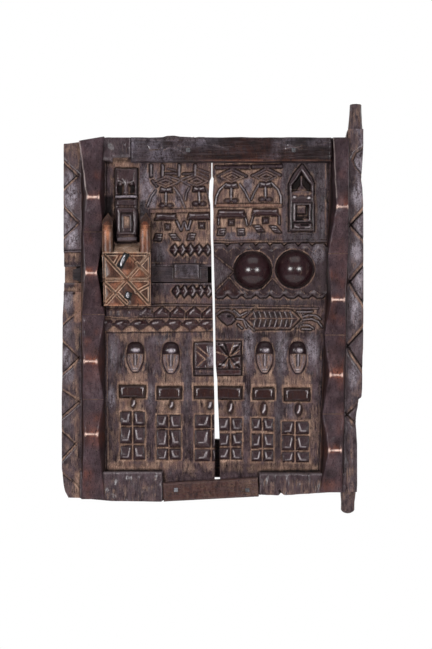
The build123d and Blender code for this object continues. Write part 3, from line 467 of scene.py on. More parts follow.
def left_corners(r):
    """The raised corners, and the sunk lines beside them and down the inner side of the ridge; the dark ones
    carry painted shade.
    """
    upper, lower = r.box(80, 132, 100, 162), r.box(80, 163.2, 470.5, 540)
    r.flat(upper, CORNER, 0.9)
    r.wash(104, 131, 138, 161, 2, mud=0, pale=0.1, shine=0.12, dark=0.15)
    both = np.maximum(upper, lower)
    r.flat(both, CORNER)
    r.wash(80, 163.2, 471, 540, 2, mud=0.25, pale=0.1, shine=0.3)
    r.roughen(both, 1.2 * noise(r.u, r.v, 6, 31) + 0.8 * noise(r.u * 4, r.v, 9, 32))
    r.groove([(105.5, 470.2), (162, 470.6)], 1.3, 1.6, 0.6, dark=0.8)
    r.stroke([(105.5, 467.6), (160, 468.2)], 2, 1, mud=1, dark=0)

    r.groove([(106.2, 162), (105.8, 250)], 1.4, 1.8, 0.7, dark=0.8)
    r.groove([(107.2, 334), (107, 400), (108.4, 470)], 1.5, 1.8, 0.7, mud=0.9)
    r.groove([(105.2, 334), (105, 400), (106.4, 470)], 1.4, 1.6, 0.7, dark=0.9)
    # Painted shadow: black where the lock case shades the ridge, and dark beside the figure above both horns.
    r.wash(99, 104.5, 254, 306, 1.4, dark=1, mud=0)
    r.wash(104, 113, 196, 216, 3, dark=0.9, mud=0)
    r.wash(138.5, 150, 200, 216, 3, dark=0.75, mud=0)


def tall_figure(r):
    """A head with two dark hollows, a brow bar, and a body with a door."""
    r.flat(r.box(112.5, 140.5, 158, 168.5), RECESS, 1.6)
    r.wash(112.5, 140.5, 158.5, 166.5, 1.5, mud=1)
    r.groove([(113, 167.4), (139, 167)], 1.2, 1.2, 0.6, dark=0.9)
    r.slab(115.4, 137.2, 168.4, 242, 15.5, 1.6, lip=0.5, shine=0.9)
    r.slab(115.4, 137, 168.6, 196, 19.5, 2.6, lip=0.6, shine=0.6, red=0.25, outline=1)
    # The eyes: hollows darkened as painted shade, with raised lids.
    for centre in (120.6, 132):
        r.cut(r.ellipse(centre, 189, 4.4, 9.4), 9.5, 2, dark=1)
        r.rise(r.ellipse(centre, 184.4, 2.3, 2), 17, 1.6, bend=2, shine=1, outline=0)
    middle_u = 126.3
    r.rise(r.line([(middle_u, 180), (middle_u, 196)], 2.4), 20.5, 1.2, lip=0.6, shine=0.5)
    r.wash(122.5, 130.5, 187, 197, 1.5, mud=0.65, dark=0)
    # Painted highlights over the eyes.
    for side in (-1, 1):
        r.glint([(middle_u + side * 3, 183.4), (middle_u + side * 7.4, 181.6)], 1, 0.6)
    r.slab(115.2, 137.6, 195.6, 198.8, 22, 1.2, lip=0.7, shine=0.2)
    r.wash(115.2, 137.6, 195.8, 198.2, 0.8, pale=0.9)
    r.slab(116.2, 136.8, 199.6, 206.6, 20, 1.8, lip=0.4, shine=0.9)
    body = r.polygon((116.6, 208), (135.4, 208), (137.8, 213), (137.8, 235.6), (116.6, 235.6))
    r.rise(body, 22, 1.6, lip=0.4, shine=0.7, red=0.2)
    r.cut(r.box(120.4, 134, 212.5, 233.5), 3.4, 1.2, dark=0.6)
    r.slab(121.8, 132.4, 214.5, 233, 20.6, 1.4, lip=0.8, shine=0.8)
    r.cut(r.box(123.6, 130.4, 216.5, 229), 4.2, 1.2, mud=0.8)
    r.slab(116.4, 138.2, 236.8, 242, 23.2, 1.6, lip=0.4, shine=0.3)
    r.wash(116.4, 138.2, 236.4, 241, 1.2, mud=0.55, pale=0.2)


def left_signs(r):
    """Posts and beams, hats over standing signs, arches, bars, small marks and two rows of lozenges."""
    for post in (151, 162.6, 179, 195):
        rib(r, [(post, 165), (post, 175.6)], rise=5, width=3, shine=0.5, pale=0.15, outline=1)
        # A painted highlight down each post, and a painted shadow line under it.
        r.glint([(post + 0.9, 166), (post + 0.9, 175)], 0.7, 0.45, 0.8)
        r.stroke([(post - 2, 177), (post + 1.6, 177)], 1.4, 0.8, dark=0.95)
    for start, end in ((166, 176.5), (183.5, 194)):
        rib(r, [(start, 173.6), (end, 173.4)], rise=4, width=2.4, shine=0.9, outline=1)
    rib(r, [(168, 168.5), (176, 170.5)], rise=2.6, width=1.4)
    rib(r, [(197, 168.5), (208, 172.5)], rise=3, width=1.5)
    rib(r, [(197, 172), (208, 176.5)], rise=3, width=1.5)
    hat(r, 165.4, 182, 12.6, 5.4)
    hat(r, 196.8, 181, 11.4, 5.2)
    rib(r, [(165.5, 175.6), (178, 178.6), (190, 185)], rise=3.6, pale=0.3)
    rib(r, [(193, 175), (182, 178.6), (176, 183.6)], rise=3.4, pale=0.2)
    rib(r, [(152.4, 180.4), (156.6, 185.8)], rise=4.2, width=2, shine=0.9, outline=1)
    for *arch, pale in (
        ((155.5, 190.5), (151, 197), (147.6, 206), 0.7), ((173.8, 187), (180.6, 196), (184.6, 207.6), 0.5),
        ((189.5, 187.6), (186.4, 193), (185.2, 200), 0.3), ((205, 187), (208.4, 194), (209.6, 204), 0.3),
    ):
        rib(r, arch, rise=3.4, width=1.5, shine=0.1, pale=pale)
    r.rise(r.polygon((175.4, 190), (181.4, 199), (178, 200)), 5, 1.6, lip=0.2, shine=1, outline=0.2)
    standing_sign(r, 166, 187, 20.8, 13)
    standing_sign(r, 199.2, 186.2, 19.6, 12.4)
    ledge = r.polygon((150, 209.4), (210, 208.2), (210, 211.2), (186, 212.4), (150, 213.2))
    r.rise(ledge, 2.6, 1, outline=0.7)
    r.tint(ledge, 1.2, mud=0.9, copper=0.1)
    bar(r, 154.2, 177.8, 213.6, 220.2)
    bar(r, 186.8, 211.4, 212.8, 219.6)
    for leg in (
        [(176.6, 221.4), (180.8, 229.8)], [(183.6, 222.4), (181.2, 229.6)],
        [(184.4, 222.4), (186.8, 229.4)], [(190.8, 220.8), (188.4, 228.8)],
    ):
        rib(r, leg, rise=5, width=2.2, shine=0.5, pale=0.5, outline=1)
    for place in ((167.6, 227), (202, 225.6)):
        cube(r, *place, 2.8, 5.6, 2, 0.3)
    for place in ((158, 237.2, 1.8), (174.6, 237, -1.6), (191, 236.8, 1.8)):
        parallelogram(r, *place)
    lozenges(r, (174.6, 182.4, 190.4, 199, 208), 249.6, 4.6, 5.6)
    r.stroke([(172, 241.8), (213, 241.6)], 1.6, 1, mud=0.9)
    lozenges(r, (177, 184.6, 192.6, 200.6, 208.6), 291, 4.5, 6)
    for v_line in (262.8, 284.2):
        r.stroke([(152, v_line), (213, v_line)], 1.6, 0.8, mud=0.9, dark=0)
    # Painted shade on the field beside the ridge and beside the lock case.
    r.wash(107, 118, 340, 462, 3, dark=0.25)
    r.wash(153, 170, 245, 264, 3, dark=0.16)


def teeth(r):
    """The two rows of teeth under the lock, with a worn strip at their left."""
    upper_line = [(150, 305.2), (182, 305), (213, 305.4)]
    r.rise(r.line(upper_line, 1.5), 3, 0.7, outline=1)
    r.stroke(upper_line, 1.6, 0.8, mud=0.9)
    strip = r.box(105, 152, 308.6, 317.6)
    r.rise(strip, 5.6, 2.4, shine=0.55, outline=0.6)
    r.roughen(strip, 0.8 * noise(r.u * 2.2, r.v, 6, 33))
    r.tint(strip, 2, shine=0.2, mud=0.6)
    for k, at in enumerate((146, 162, 178, 194, 210)):
        foot = ((at + 7.8, 317.4), (at - 7.8, 317.4))
        tooth = r.polygon((at - 7.6, 313.2), (at, 306.8), (at + 7.6, 313.2), *foot)
        r.rise(tooth, 8, 4.4, bend=1.2, shine=0.4, red=0.3 + 0.15 * k, outline=0.8)
        # A painted highlight on each tooth.
        r.glint([(at - 3.6, 313), (at - 0.6, 310)], 1.1, 0.3 + 0.08 * k)
    r.tint(r.polygon((104, 326), (213, 326), (213, 331.4), (104, 332)), 0.8, mud=1.3, dark=0)
    for k, at in enumerate((106, 122, 139.6, 157.4, 174, 190.6, 207.6)):
        top = ((at - 8.8, 324.4), (at - 4.6, 320.4), (at + 4.6, 320.2), (at + 8.8, 324.4))
        tooth = r.polygon(*top, (at, 331.2))
        r.rise(tooth, 8, 4.4, bend=1.2, shine=0.4, red=0.25 + 0.1 * k, outline=0.45)
        # A painted highlight on each tooth.
        r.glint([(at - 4.4, 323.4), (at + 0.4, 322.4)], 1.1, 0.5)
    r.groove([(84, 314.2), (105, 316.8), (150, 318.8), (214, 319)], 1.6, 1.2, 0.7, mud=1.1)
    # A painted shadow line under the lower row.
    r.groove([(106, 332.8), (160, 332.4), (214, 331.6)], 1.5, 2.2, 0.7, dark=1)


def square_sign_left(r):
    """The left part of the square sign at the joint: angles and a pale panel over a sunk line."""
    r.slab(194.2, 218, 342.4, 375.4, 10, 1.6, lip=0.5, shine=0.9, red=0.5, outline=1)
    for angle in ([(196, 345), (209, 356.5)], [(196.4, 351), (205.2, 359), (196.4, 367)]):
        r.groove(angle, 2.2, 3, 0.9, mud=1.2)
    r.cut(r.polygon((207, 345), (218, 345), (218, 367), (205.5, 367), (209, 356)), 2.8, 1.2)
    r.wash(208, 218, 346, 366, 1.6, pale=0.8, red=0, shine=0.6)
    r.groove([(194, 369), (218, 368.8)], 1.6, 3.6, 0.7, dark=1)
    r.wash(195, 218, 370.4, 374.8, 1, mud=0.65, red=0, shine=0.1)


def lock_seats(r, u, v):
    """Room behind the lock case and its horns, and the bolt's channel, darkened towards its inner end as
    painted shade.
    """
    for u0, u1, v0, v1 in (
        (103.3, 151.8, 252.8, 306.3), (103.3, 114.2, 212.8, 253.5), (140.7, 151.8, 212.8, 253.5),
        (103.3, 151.8, 243.6, 254),
    ):
        inside = (u > u0) & (u < u1) & (v > v0) & (v < v1)
        r.h = np.where(inside, np.minimum(r.h, GROUND), r.h)
    channel = np.abs(v - BOLT_V) < CHANNEL_HALF
    r.h = np.where(channel, CHANNEL_FLOOR, r.h)
    r.dark = np.where(channel, np.clip((u - 77) / 4, -1, 0.9), r.dark)
    r.mud = np.where(channel & (u < 76), 0.6, r.mud)


def left_relief(u, v):
    r = Relief(u, v)
    for carve in (left_soil, left_band, left_corners, tall_figure, left_signs, teeth):
        carve(r)
    halo(r, 135.2, 357.4, 8.8, 16)
    halo(r, 170.8, 358.2, 8.9, 16.6)
    square_sign_left(r)
    lower_rows(
        r,
        blocks=((119.6, 145.2, 385.4, 397.8), (157.2, 181.2, 386.8, 399), (194.4, 219, 386.8, 398.8)),
        nubs=((133.4, 403.8), (171.2, 405), (209.6, 405.2)),
        stud_fields=(
            (((120.4, 131.6), (133.2, 144.4)), ((411.8, 425.4), (427, 443.6), (445.8, 459.8))),
            (((156.6, 167.8), (169.4, 180.6)), ((415, 428.2), (429.8, 447.4), (449, 460))),
            (((195, 210.4), (212.2, 222)), ((414.6, 428), (429.8, 447.6), (449.4, 461.2))),
        ),
    )
    rail_seats(r, 130.6, 230)
    lock_seats(r, u, v)
    return r


LEFT_OUTLINE = {
    "left": [(130, 64.4), (144, 64), (300, 64), (316, 63), (380, 62.6), (396, 62.1), (428, 62.1), (468, 62.2),
             (484, 64), (492, 65.4), (497, 67.6), (503, 70)],
    "right": [(130, 211.5), (176, 211.4), (180, 209.7), (190, 209), (197, 208.8), (204, 210.4), (236, 210.7),
              (252, 211.4), (284, 211.8), (300, 212.6), (364, 213.6), (380, 213.9), (396, 214.4),
              (440, 214.7), (505, 214.7)],
    "top": [(60, 144.4), (68, 144), (76, 143), (84, 142), (92, 140), (100, 139), (108, 138.2), (156, 138.3),
            (163, 136.6), (167, 135.4), (174, 135.2), (180, 136.2), (190, 136.6), (196, 137.2),
            (206, 138.6), (215, 139)],
    "bottom": [(60, 496.4), (68, 497.2), (84, 497.6), (92, 498.4), (100, 499.2), (112, 500.2), (140, 500.6),
               (161, 501), (164, 500.2), (190, 498.6), (216, 497)],
}


# ---- right plank -------------------------------------------------------------------------------
def right_soil(r):
    """The same for the right plank, which is cleaner around its shrine and domes."""
    r.soil(
        (213, 282, 160, 204, 0.85), (213, 283, 204, 234, 1), (283, 330, 160, 242, 0),
        (213, 330, 235, 242, 0.3), (213, 330, 297, 305, 0.15), (213, 330, 326, 333, 0.3),
        (308, 330, 270, 334, 0.35), (218, 244, 376, 387, 0.85), (250, 275, 376, 388, 0.85),
        (282, 312, 376, 389, 0.85), (218, 244, 400, 416, 0.55), (250, 275, 400, 416, 0.6),
        (282, 312, 401, 420, 0.35), (244, 252, 338, 462, 0.05), (275, 283, 338, 462, 0.05),
        (305, 322, 338, 372, 0), (218, 322, 460, 472, 0.7), (312, 330, 400, 470, 0.6),
        (238, 256, 338, 374, 0.05), (273, 288, 338, 374, 0))
    r.bleach(
        5, (249, 340, 5, 24, 0.6), (281, 350, 5, 26, 0.6), (312, 350, 6, 14, 0.7), (248, 184, 5, 8, 0.5),
        (318, 256, 7, 10, 0.5), (313, 286, 8, 6, 0.2), (321, 180, 5, 16, 0.4), (222, 250, 6, 6, 0.4),
        (285, 184, 3, 14, 0.3), (243, 236, 24, 4, 0.35), (260, 300, 40, 3, 0.3), (246, 410, 3, 12, 0.4),
        (279, 415, 3, 20, 0.35), (293, 410, 6, 8, 0.35))


def right_band(r):
    """The border band along the right edge, with its chevrons and a hook, and the bare post below it."""
    band = r.u - np.interp(r.v, [138, 250, 400, 500], [346.4, 346, 343, 341.8])
    r.flat(band, BAND)
    r.tint(band, 2, mud=0.35, shine=0.2, pale=0.1)
    r.bleach(
        4, (359, 165, 3.5, 12, 0.9), (357, 196, 5, 12, 1), (359, 228, 4, 12, 0.9), (356, 252, 5, 9, 0.8),
        (359, 280, 3.5, 12, 0.8), (355, 306, 5, 18, 0.8), (353, 376, 4, 12, 0.8), (359, 190, 3, 8, 0.9),
        (361, 140, 2, 8, 0.6), (360, 343, 2.5, 8, 0.2), (357, 122, 3, 12, 0.5), shine=0.4)
    for points in (
        ((366, 206), (348.6, 225), (366, 244)), ((366, 261), (347.6, 281.6), (366, 310)),
        ((366, 323.4), (346, 345.7), (366, 377)), ((362, 398.5), (344.6, 414), (362, 432)),
    ):
        chevron(r, points, 5.4)
    hook = [(366, 146), (355, 153.6), (351.8, 160.5), (354.5, 167.5), (362, 176)]
    r.groove(hook, 3.2, 2.4, 1.1, mud=0.6)
    # A painted shade line beside the hook's groove.
    r.groove(moved(hook, du=1.2), 1.6, 1.6, 0.6, dark=0.95)
    foot = np.minimum(r.box(330, 380, 397.6, 520), band)
    r.roughen(foot, noise(r.u * 5, r.v, 12, 41) + 0.7 * noise(r.u * 9, r.v * 1.3, 7, 42) - 0.6)
    r.tint(foot, 2, mud=0.4, shine=0.1, pale=0.15)
    r.wash(353, 362, 397.6, 500, 2, mud=0.1, dark=0.25)
    r.cut(band + 1.2 - 2 * np.abs(band), 2, 0.8, dark=0.25)


def right_signs(r):
    """Roofs and hats over standing signs, arches, bars and small marks."""
    for line, width in (([(217, 167.4), (249.5, 166.8)], 4.2), ([(253.5, 166.4), (281, 166)], 3.8)):
        rib(r, line, rise=4.6, width=width, shine=0.6, outline=1)
    for u, v in ((232.4, 169.2), (266.6, 168.4)):
        rib(r, [(u - 14, v + 7), (u, v), (u + 13.4, v + 6.6)], rise=5, width=2.6, shine=0.4, outline=1)
        hat(r, u - 0.4, v + 7.8, 11.4, 5)
    for k in range(4):
        u, drop = 216 + k * 1.8, 0.6 * k
        rib(r, [(u, 174.6 + 2 * drop), (u + 3.6, 182.4 - drop)], rise=2.6, width=0.9, shine=0.1)
    for arch in (
        [(226.4, 183.6), (219.4, 190.6), (216.4, 197), (215.6, 204)],
        [(271.6, 182.6), (278.4, 189.6), (280.8, 196), (281, 203)],
    ):
        rib(r, arch, rise=4.2, width=2, shine=0.6, outline=0.8)
        # A painted highlight along each outer arch.
        r.glint(arch, 0.7, 0.5, 0.8)
    for arch in ([(239.4, 184), (245, 192), (249.8, 201)], [(260, 182.6), (254.4, 191.6), (251.6, 199)]):
        rib(r, arch, rise=3.8, width=1.6, shine=0.4, pale=0.6, outline=0.8)
    standing_sign(r, 231.4, 182.6, 20.4, 13)
    standing_sign(r, 265.6, 181.4, 20.4, 12.4)
    ledge = r.box(215.6, 281.5, 203.6, 206.8)
    r.rise(ledge, 2.8, 1, outline=0.8)
    r.tint(ledge, 1, mud=0.8, copper=0.3)
    bar(r, 216.8, 246, 210, 217.6)
    bar(r, 250.8, 279.6, 208.8, 215.8)
    for place in ((231.4, 222.4), (265.6, 220.6)):
        cube(r, *place, 3, 5.2, 2.2, 0.2)
    for leg in (
        [(279.4, 216), (279.4, 223.4)], [(252.8, 216.4), (250.6, 224.4)],
        [(219, 218), (218.4, 224)], [(245.6, 218), (247, 225)],
    ):
        rib(r, leg, rise=4, width=2.2, shine=0.8, outline=0.8)
    for place in ((221.2, 231.8, 1.6), (241, 231.6, 0.6), (259, 228.4, -1.6), (275.6, 229.2, -1.8)):
        parallelogram(r, *place)


SHRINE = ((289, 231), (289, 184), (292, 177), (302.2, 163.6), (311.6, 177), (314.2, 184), (314.2, 231))


def shrine(r):
    """A pointed niche with a stem, a bar with two studs, and a framed sign over a foot bar. The niche and the
    frame's hollows are darkened as painted shade, and painted highlights sit on the studs and along some
    edges.
    """
    r.rise(r.polygon(*SHRINE), 11, 1.6, lip=0.35, shine=0.7, outline=0.9)
    niche = r.polygon((291.2, 192.6), (291.2, 184), (301.6, 171), (311.6, 184), (311.6, 192.6))
    r.cut(niche, 9.5, 1.8, dark=1)
    stem = r.polygon((300.9, 176), (301.9, 176), (302.6, 185.4), (308, 191.6), (296.4, 191.6), (300.4, 185.4))
    r.rise(stem, 7.4, 1, lip=0.4, shine=0.1, outline=0)
    r.tint(stem, 0.8, mud=0.7, dark=0)
    gable = r.line([(291.2, 184.5), (301.8, 169.4), (312, 184.5)], 2)
    r.rise(gable, 13.8, 1, lip=0.6, shine=1, outline=0)
    lens = r.ellipse(301.8, 193.4, 11.2, 2.4)
    r.rise(lens, 12, 0.9, lip=0.6, outline=0.6)
    r.tint(lens, 0.8, mud=0.95, dark=0)
    r.slab(291.2, 312.6, 196.2, 201.4, 13.5, 2.4, shine=1, outline=1)
    for place in ((294.2, 197.6), (308.8, 198.4)):
        r.rise(r.ellipse(*place, 2.2, 2), 17.5, 1.8, lip=0.55, bend=2, shine=1, outline=0)
        r.tint(r.ellipse(*place, 1.5, 0.9), 0.8, wear=0.9)
    r.cut(r.box(291.2, 312.8, 202.6, 229.4), 2, 0.7, dark=0.8)
    r.slab(292.4, 311.4, 203, 222.4, 13, 1.6, lip=0.4, shine=1, outline=0.4)
    r.cut(r.box(295.4, 308.8, 204.8, 221), 8, 1.3, dark=0.85)
    r.slab(297, 305.6, 205.6, 213.6, 11, 2, shine=0.1, outline=0.6)
    r.wash(297.4, 305.2, 206, 213.2, 1, mud=0.75, dark=0)
    r.rise(r.polygon((303.6, 222), (306, 218.4), (308, 218.4), (310.6, 222)), 11.5, 1.2, lip=0.4, outline=0.3)
    r.wash(303.6, 310.6, 218.6, 222, 1, mud=0.8, dark=0)
    r.slab(293, 312, 222.8, 229.4, 13, 1.8, lip=0.4, shine=1, outline=0.8)
    r.cut(r.polygon((299, 223.4), (309.6, 223.4), (307.6, 226.6), (300.8, 226.6)), 3.6, 1, dark=0.8)
    for line in (
        [(294.6, 226.6), (298.4, 228)], [(305, 228.2), (310.4, 227)], [(293.6, 205), (293.8, 219)],
        [(302.2, 170.6), (309.6, 181.6)], [(297.6, 207.2), (304.6, 206.8)],
    ):
        r.glint(line, 0.8, 0.4)
    for line in ([(293, 232.8), (311.4, 233.2)], [(289.4, 204), (289.6, 230)], [(315.6, 184), (315.8, 231)]):
        r.rise(r.line(line, 1.2), 1.8, 0.6, outline=0.6)
        r.stroke(line, 1.2, 0.6, mud=0.7, dark=0)


def dome_panel(r):
    """The raised panel with scalloped edges and triangles, and the rings around its two domes."""
    pitch = 14.2
    top, foot = [], []
    for u in [213 + k * pitch for k in range(9)]:
        top += [(u, 246.6), (u + 3.4, 243.6), (u + 11, 243.2)]
        foot += [(u, 294.4), (u + 4.5, 298), (u + 10, 298)]
    panel = [(205, 243.4), *top[1:], (331, 247), (331, 293), *foot[::-1], (205, 297)]
    r.rise(r.polygon(*[(min(a, 330.5), b) for a, b in panel]), 9, 1.4, lip=0.4, shine=0.55, outline=1)
    r.wash(214, 330, 246, 296, 3, mud=0.12, dark=0.25)
    r.tint(r.ellipse(317, 254, 7, 9), 4, pale=0.5)
    for place in ((252.5, 270.5), (294.4, 269.2)):
        ring = r.ellipse(*place, 19.8, 19.8)
        r.tint(2.4 - np.abs(ring + 0.2), 0.8, shine=0)
        r.cut(0.9 - np.abs(ring + 0.5), 1, 0.8, mud=1)
        # A groove darkened as painted shade just outside each ring.
        r.cut(1 - np.abs(ring - 1), 1, 0.7, dark=1)
    for u in [221 + k * pitch for k in range(8)]:
        for v_far, v_near in ((251.4, 246.4), (290.8, 295)):
            r.groove([(u - 5.6, v_far), (u, v_near), (u + 5.6, v_far)], 1.2, 1.8, 0.6, mud=0.8)
    rim = [(213, 241.6), (230, 241.8), (330, 240.8)]
    r.rise(r.line(rim, 1.4), 2.4, 0.7, outline=0.6)
    r.stroke(rim, 1.8, 1, mud=0.8)
    for line in (
        [(213, 253.6), (237, 273.4)], [(214.4, 292.4), (233.6, 272)], [(229.4, 277.4), (243.4, 293.8)],
        [(262, 288.6), (273, 278.4), (283.6, 290.2)],
    ):
        r.groove(line, 3.6, 2.4, 1, dark=0.6)
        r.rise(r.line(line, 1.1), 7.6, 0.5, lip=0.6, outline=0)
        r.stroke(line, 1, 0.5, mud=0.5, dark=0)
    r.tint(r.polygon((214, 257), (230, 272), (214, 288)), 2, red=0.4, mud=0, shine=0.3, pale=0.25)
    r.tint(r.polygon((217, 295), (229.5, 280), (241, 295)), 2, red=0.9, mud=0, shine=0.5)
    around_shrine = np.minimum(r.box(283, 325, 162, 242), -1 - r.polygon(*SHRINE))
    r.tint(around_shrine, 4, dark=0.42, pale=0.3, mud=0)
    # A painted shadow under the panel.
    r.wash(214, 325, 299, 306, 2, dark=0.42)
    # Small painted highlights on the scallops.
    for k in range(8):
        for place in ((220 + k * pitch, 247.4), (227.6 + k * pitch, 292.4)):
            r.tint(r.ellipse(*place, 3, 1.2), 1.5, wear=0.14, dark=0)
    for k in range(6):
        r.groove([(216 + k * 2.2, 262 + k), (219 + k * 2, 288 - k * 2.2)], 0.9, 0.5, 0.4, dark=0.5)
    for *patch, dark in ((275, 283, 340, 460, 0.4), (220, 318, 463, 474, 0.3), (218, 320, 331, 339, 0.22)):
        r.wash(*patch, 3, dark=dark)


def lizard(r):
    """A lizard under a thin ledge: head with an eye and a lid, curled legs and tail, and a ribbed body. The
    eye is a hollow darkened as painted shade, and painted highlights run along the legs and the ribs' tops.
    """
    ledge = [(213, 307.2), (260, 307.4), (318, 308.6)]
    r.rise(r.line(ledge, 1.4), 3, 0.7, outline=1)
    r.stroke(ledge, 1.6, 0.6, mud=0.75, dark=0)
    r.wash(215, 326, 309, 328, 2, mud=0.5)
    lid = [(216.6, 314.4), (221, 310.8), (227, 309.6), (233, 311.6), (239, 316.6)]
    rib(r, lid, rise=4.6, width=1.8)
    r.stroke(lid, 1.8, 0.6, mud=0.7)
    head = r.polygon((217.6, 316.4), (222, 313), (228, 312.4), (233, 315), (236, 319.6), (231.6, 324),
                     (226.6, 325), (221.6, 321))
    r.rise(head, 7.5, 2, lip=0.4, shine=0.45, outline=1)
    r.cut(r.ellipse(229.2, 316.2, 2.8, 2.2), 3, 1.4, dark=0.8)
    for k in range(3):
        for line, rise, pale in (
            ([(247 + k * 2, 315.2), (249.6 + k * 2, 310.8)], 4.6, 0.4),
            ([(297.6 + k * 1.8, 311), (301.4 + k * 1.8, 318.6 - k)], 4.2, 0.3),
            ([(294.8 + k * 2.2, 327.8), (299.6 + k * 2.2, 321.4)], 4.2, 0.3),
        ):
            rib(r, line, rise=rise, width=1.1, shine=0.2, pale=pale)
    for leg in (
        [(234, 310.4), (240, 315.6), (246.6, 312.2)], [(237, 318.6), (243.4, 319.4), (246.4, 327.4)],
        [(244.6, 319.6), (248.6, 325.4), (254.4, 330.2)], [(238, 324.6), (242, 328.4)],
        [(248.6, 313.8), (256.6, 308.6)], [(297, 311.4), (306, 311.8), (312.4, 311.6)],
        [(303.6, 316.4), (309, 314.8), (316.6, 316.2), (320.4, 319.2)],
        [(303, 319.8), (311.6, 318.8), (318.6, 321.6), (322.6, 327)],
        [(303, 325.2), (309.6, 325.6), (313.6, 328.6)], [(302, 328.8), (311, 329.4)],
    ):
        rib(r, leg, rise=4.8, width=1.8, shine=0.1, outline=0.9)
        r.glint(leg, 0.5, 0.35, 0.8, mud=0.5)
    body = r.polygon((244.6, 318.8), (254, 309.4), (291, 309.2), (301, 318.6), (290.4, 329.4), (255, 329.6))
    r.rise(body, 8, 2.2, lip=0.35, shine=0.4, red=0.15, outline=1)
    r.tint(1 - np.abs(body - 1.6), 0.8, mud=1.3, dark=0)
    r.tint(body - 2.6, 1, dark=0.55, red=0.6, mud=0.35)
    for u in [254.6 + k * 5.2 for k in range(8)]:
        for v0, v1, lean in ((311.8, 317.4, 0.9), (319.8, 326.6, -0.9)):
            d = r.line([(u - lean, v0), (u + lean, v1)], 2.9)
            r.rise(d, 10.5, 1.4, lip=0.4, shine=0.35, red=0.4, outline=0.5)
            r.tint(d - 1.2, 0.6, dark=0, wear=0.3, mud=0.8)
    r.stroke([(249, 318.6), (297, 318.4)], 1, 0.5, mud=0.9, dark=0)


def square_sign_right(r):
    """The right part of the square sign: rays from a hub, over a sunk line. The wide rays and the sunk line
    are darkened as painted shade, and painted highlights mark its corners.
    """
    r.slab(205, 241.4, 341.4, 375.4, 10, 1.6, lip=0.5, shine=0.6, red=0.8, outline=1)
    hub = (229, 357.4)
    for ray in (
        (218.6, 343.6), (224.6, 343.2), (239.6, 344.2), (240, 356), (239.6, 367), (229.4, 368), (219, 367),
    ):
        r.groove([hub, ray], 2.8, 3.6, 1.1, dark=0.95)
    for ray in ((233.6, 343), (240, 350), (234.6, 368), (216.6, 352), (223.6, 368)):
        r.groove([hub, ray], 1.7, 2, 0.6, mud=1.5)
    for line in (
        [(219.4, 345.2), (222.4, 344.8)], [(233.6, 346), (238.4, 345.2)],
        [(220, 364), (225, 365.4)], [(234, 364.4), (238.6, 362)],
    ):
        r.glint(line, 1, 0.7)
    r.groove([(205, 369.2), (241, 369)], 1.6, 3.6, 0.7, dark=1)
    r.wash(216, 241, 370.6, 375, 1, mud=0.5, shine=0.1)


def right_corners(r):
    """The rough, split corner at the bottom, the one at the top, and the lines beside the ridge. The split
    and the sunk lines beside the ridge and along the corner's top are darkened as painted shade.
    """
    corner = r.box(258.6, 346, 472.2, 540)
    r.flat(corner, CORNER, 1)
    r.roughen(corner, 1.7 * noise(r.u * 3.2, r.v, 11, 43) + 1.4 * noise(r.u * 7, r.v, 8, 44) - 1.2)
    r.tint(corner, 2, mud=0.35, pale=0.1, red=0.25, shine=0.3)
    r.groove([(261, 471.8), (320, 471.2)], 1.3, 1.4, 0.6, dark=0.8)
    r.stroke([(261, 469.4), (318, 468.8)], 1.8, 1, mud=0.9)
    r.groove([(282, 497), (279.6, 490)], 3, 8, 1.4, dark=0.8)
    r.flat(r.box(331.4, 347, 100, 162), CORNER, 0.9)
    r.wash(331.4, 346, 130, 162, 2, mud=0.1, shine=0.4)
    for line in ([(325.6, 163), (325.2, 240)], [(322, 334), (316.6, 470)]):
        r.groove(line, 1.4, 1.6, 0.7, mud=0.6)
        r.groove(moved(line, du=2.2), 1.6, 2, 0.8, dark=0.9)


def right_relief(u, v):
    r = Relief(u, v)
    for carve in (right_soil, right_band, right_signs, shrine, dome_panel, lizard):
        carve(r)
    halo(r, 264.6, 357.8, 8.8, 16.8)
    halo(r, 297.8, 358, 8.8, 16.8)
    square_sign_right(r)
    lower_rows(
        r,
        blocks=((205, 242, 386.6, 399.4), (253.2, 274.2, 387.8, 399.6), (284.4, 309.8, 388.4, 401)),
        nubs=((230.4, 408, 5.8), (264, 409.2, 6.2), (298.8, 409.6, 5.8)),
        stud_fields=(
            (((218.6, 229.6), (231.4, 241.8)), ((418.4, 430.8), (433.2, 446.6), (448.4, 460))),
            (((251.8, 261.4), (263, 273)), ((418.4, 431.2), (434.2, 448.4), (450.4, 461.4))),
            (((282.4, 294), (296.2, 308.8)), ((421.6, 434), (435.6, 450.2), (452, 462))),
        ),
    )
    right_corners(r)
    rail_seats(r, 190, 331.4)
    return r


RIGHT_OUTLINE = {
    "left": [(120, 212.4), (175.4, 212.4), (177.4, 213.6), (182, 213.4), (196, 212.7), (206, 213),
             (212, 213.4), (236, 213), (252, 213.6), (284, 214.4), (300, 214.7), (340, 215.3), (364, 215.7),
             (372, 216.4), (380, 217.3), (396, 217.6), (412, 218.4), (436, 219.4), (505, 220.4)],
    "right": [(100, 363), (148, 363), (160, 362.2), (172, 361.4), (180, 360.8), (188, 362), (204, 362.8),
              (220, 363), (300, 363.1), (324, 363), (348, 362.8), (356, 362.2), (388, 361.8), (396, 361.2),
              (397.4, 360.8), (399, 358.4), (404, 357.8), (412, 356.2), (420, 355.4), (428, 355.8),
              (444, 356.8), (484, 356.9), (505, 356)],
    "top": [(205, 139.6), (260, 139.8), (272, 139.2), (284, 138.4), (300, 138), (331, 138.2), (345.6, 138.2),
            (346.6, 137.6), (347.4, 129.8), (348.4, 129.2), (366, 129.4)],
    "bottom": [(205, 497.6), (221, 497.2), (258, 494.6), (261, 494), (268, 494.4), (278, 494.6), (281, 492.4),
               (284, 494.4), (292, 494.2), (300, 493.4), (308, 493.2), (316, 492.4), (332, 491.6),
               (345, 491.5), (366, 491.5)],
}


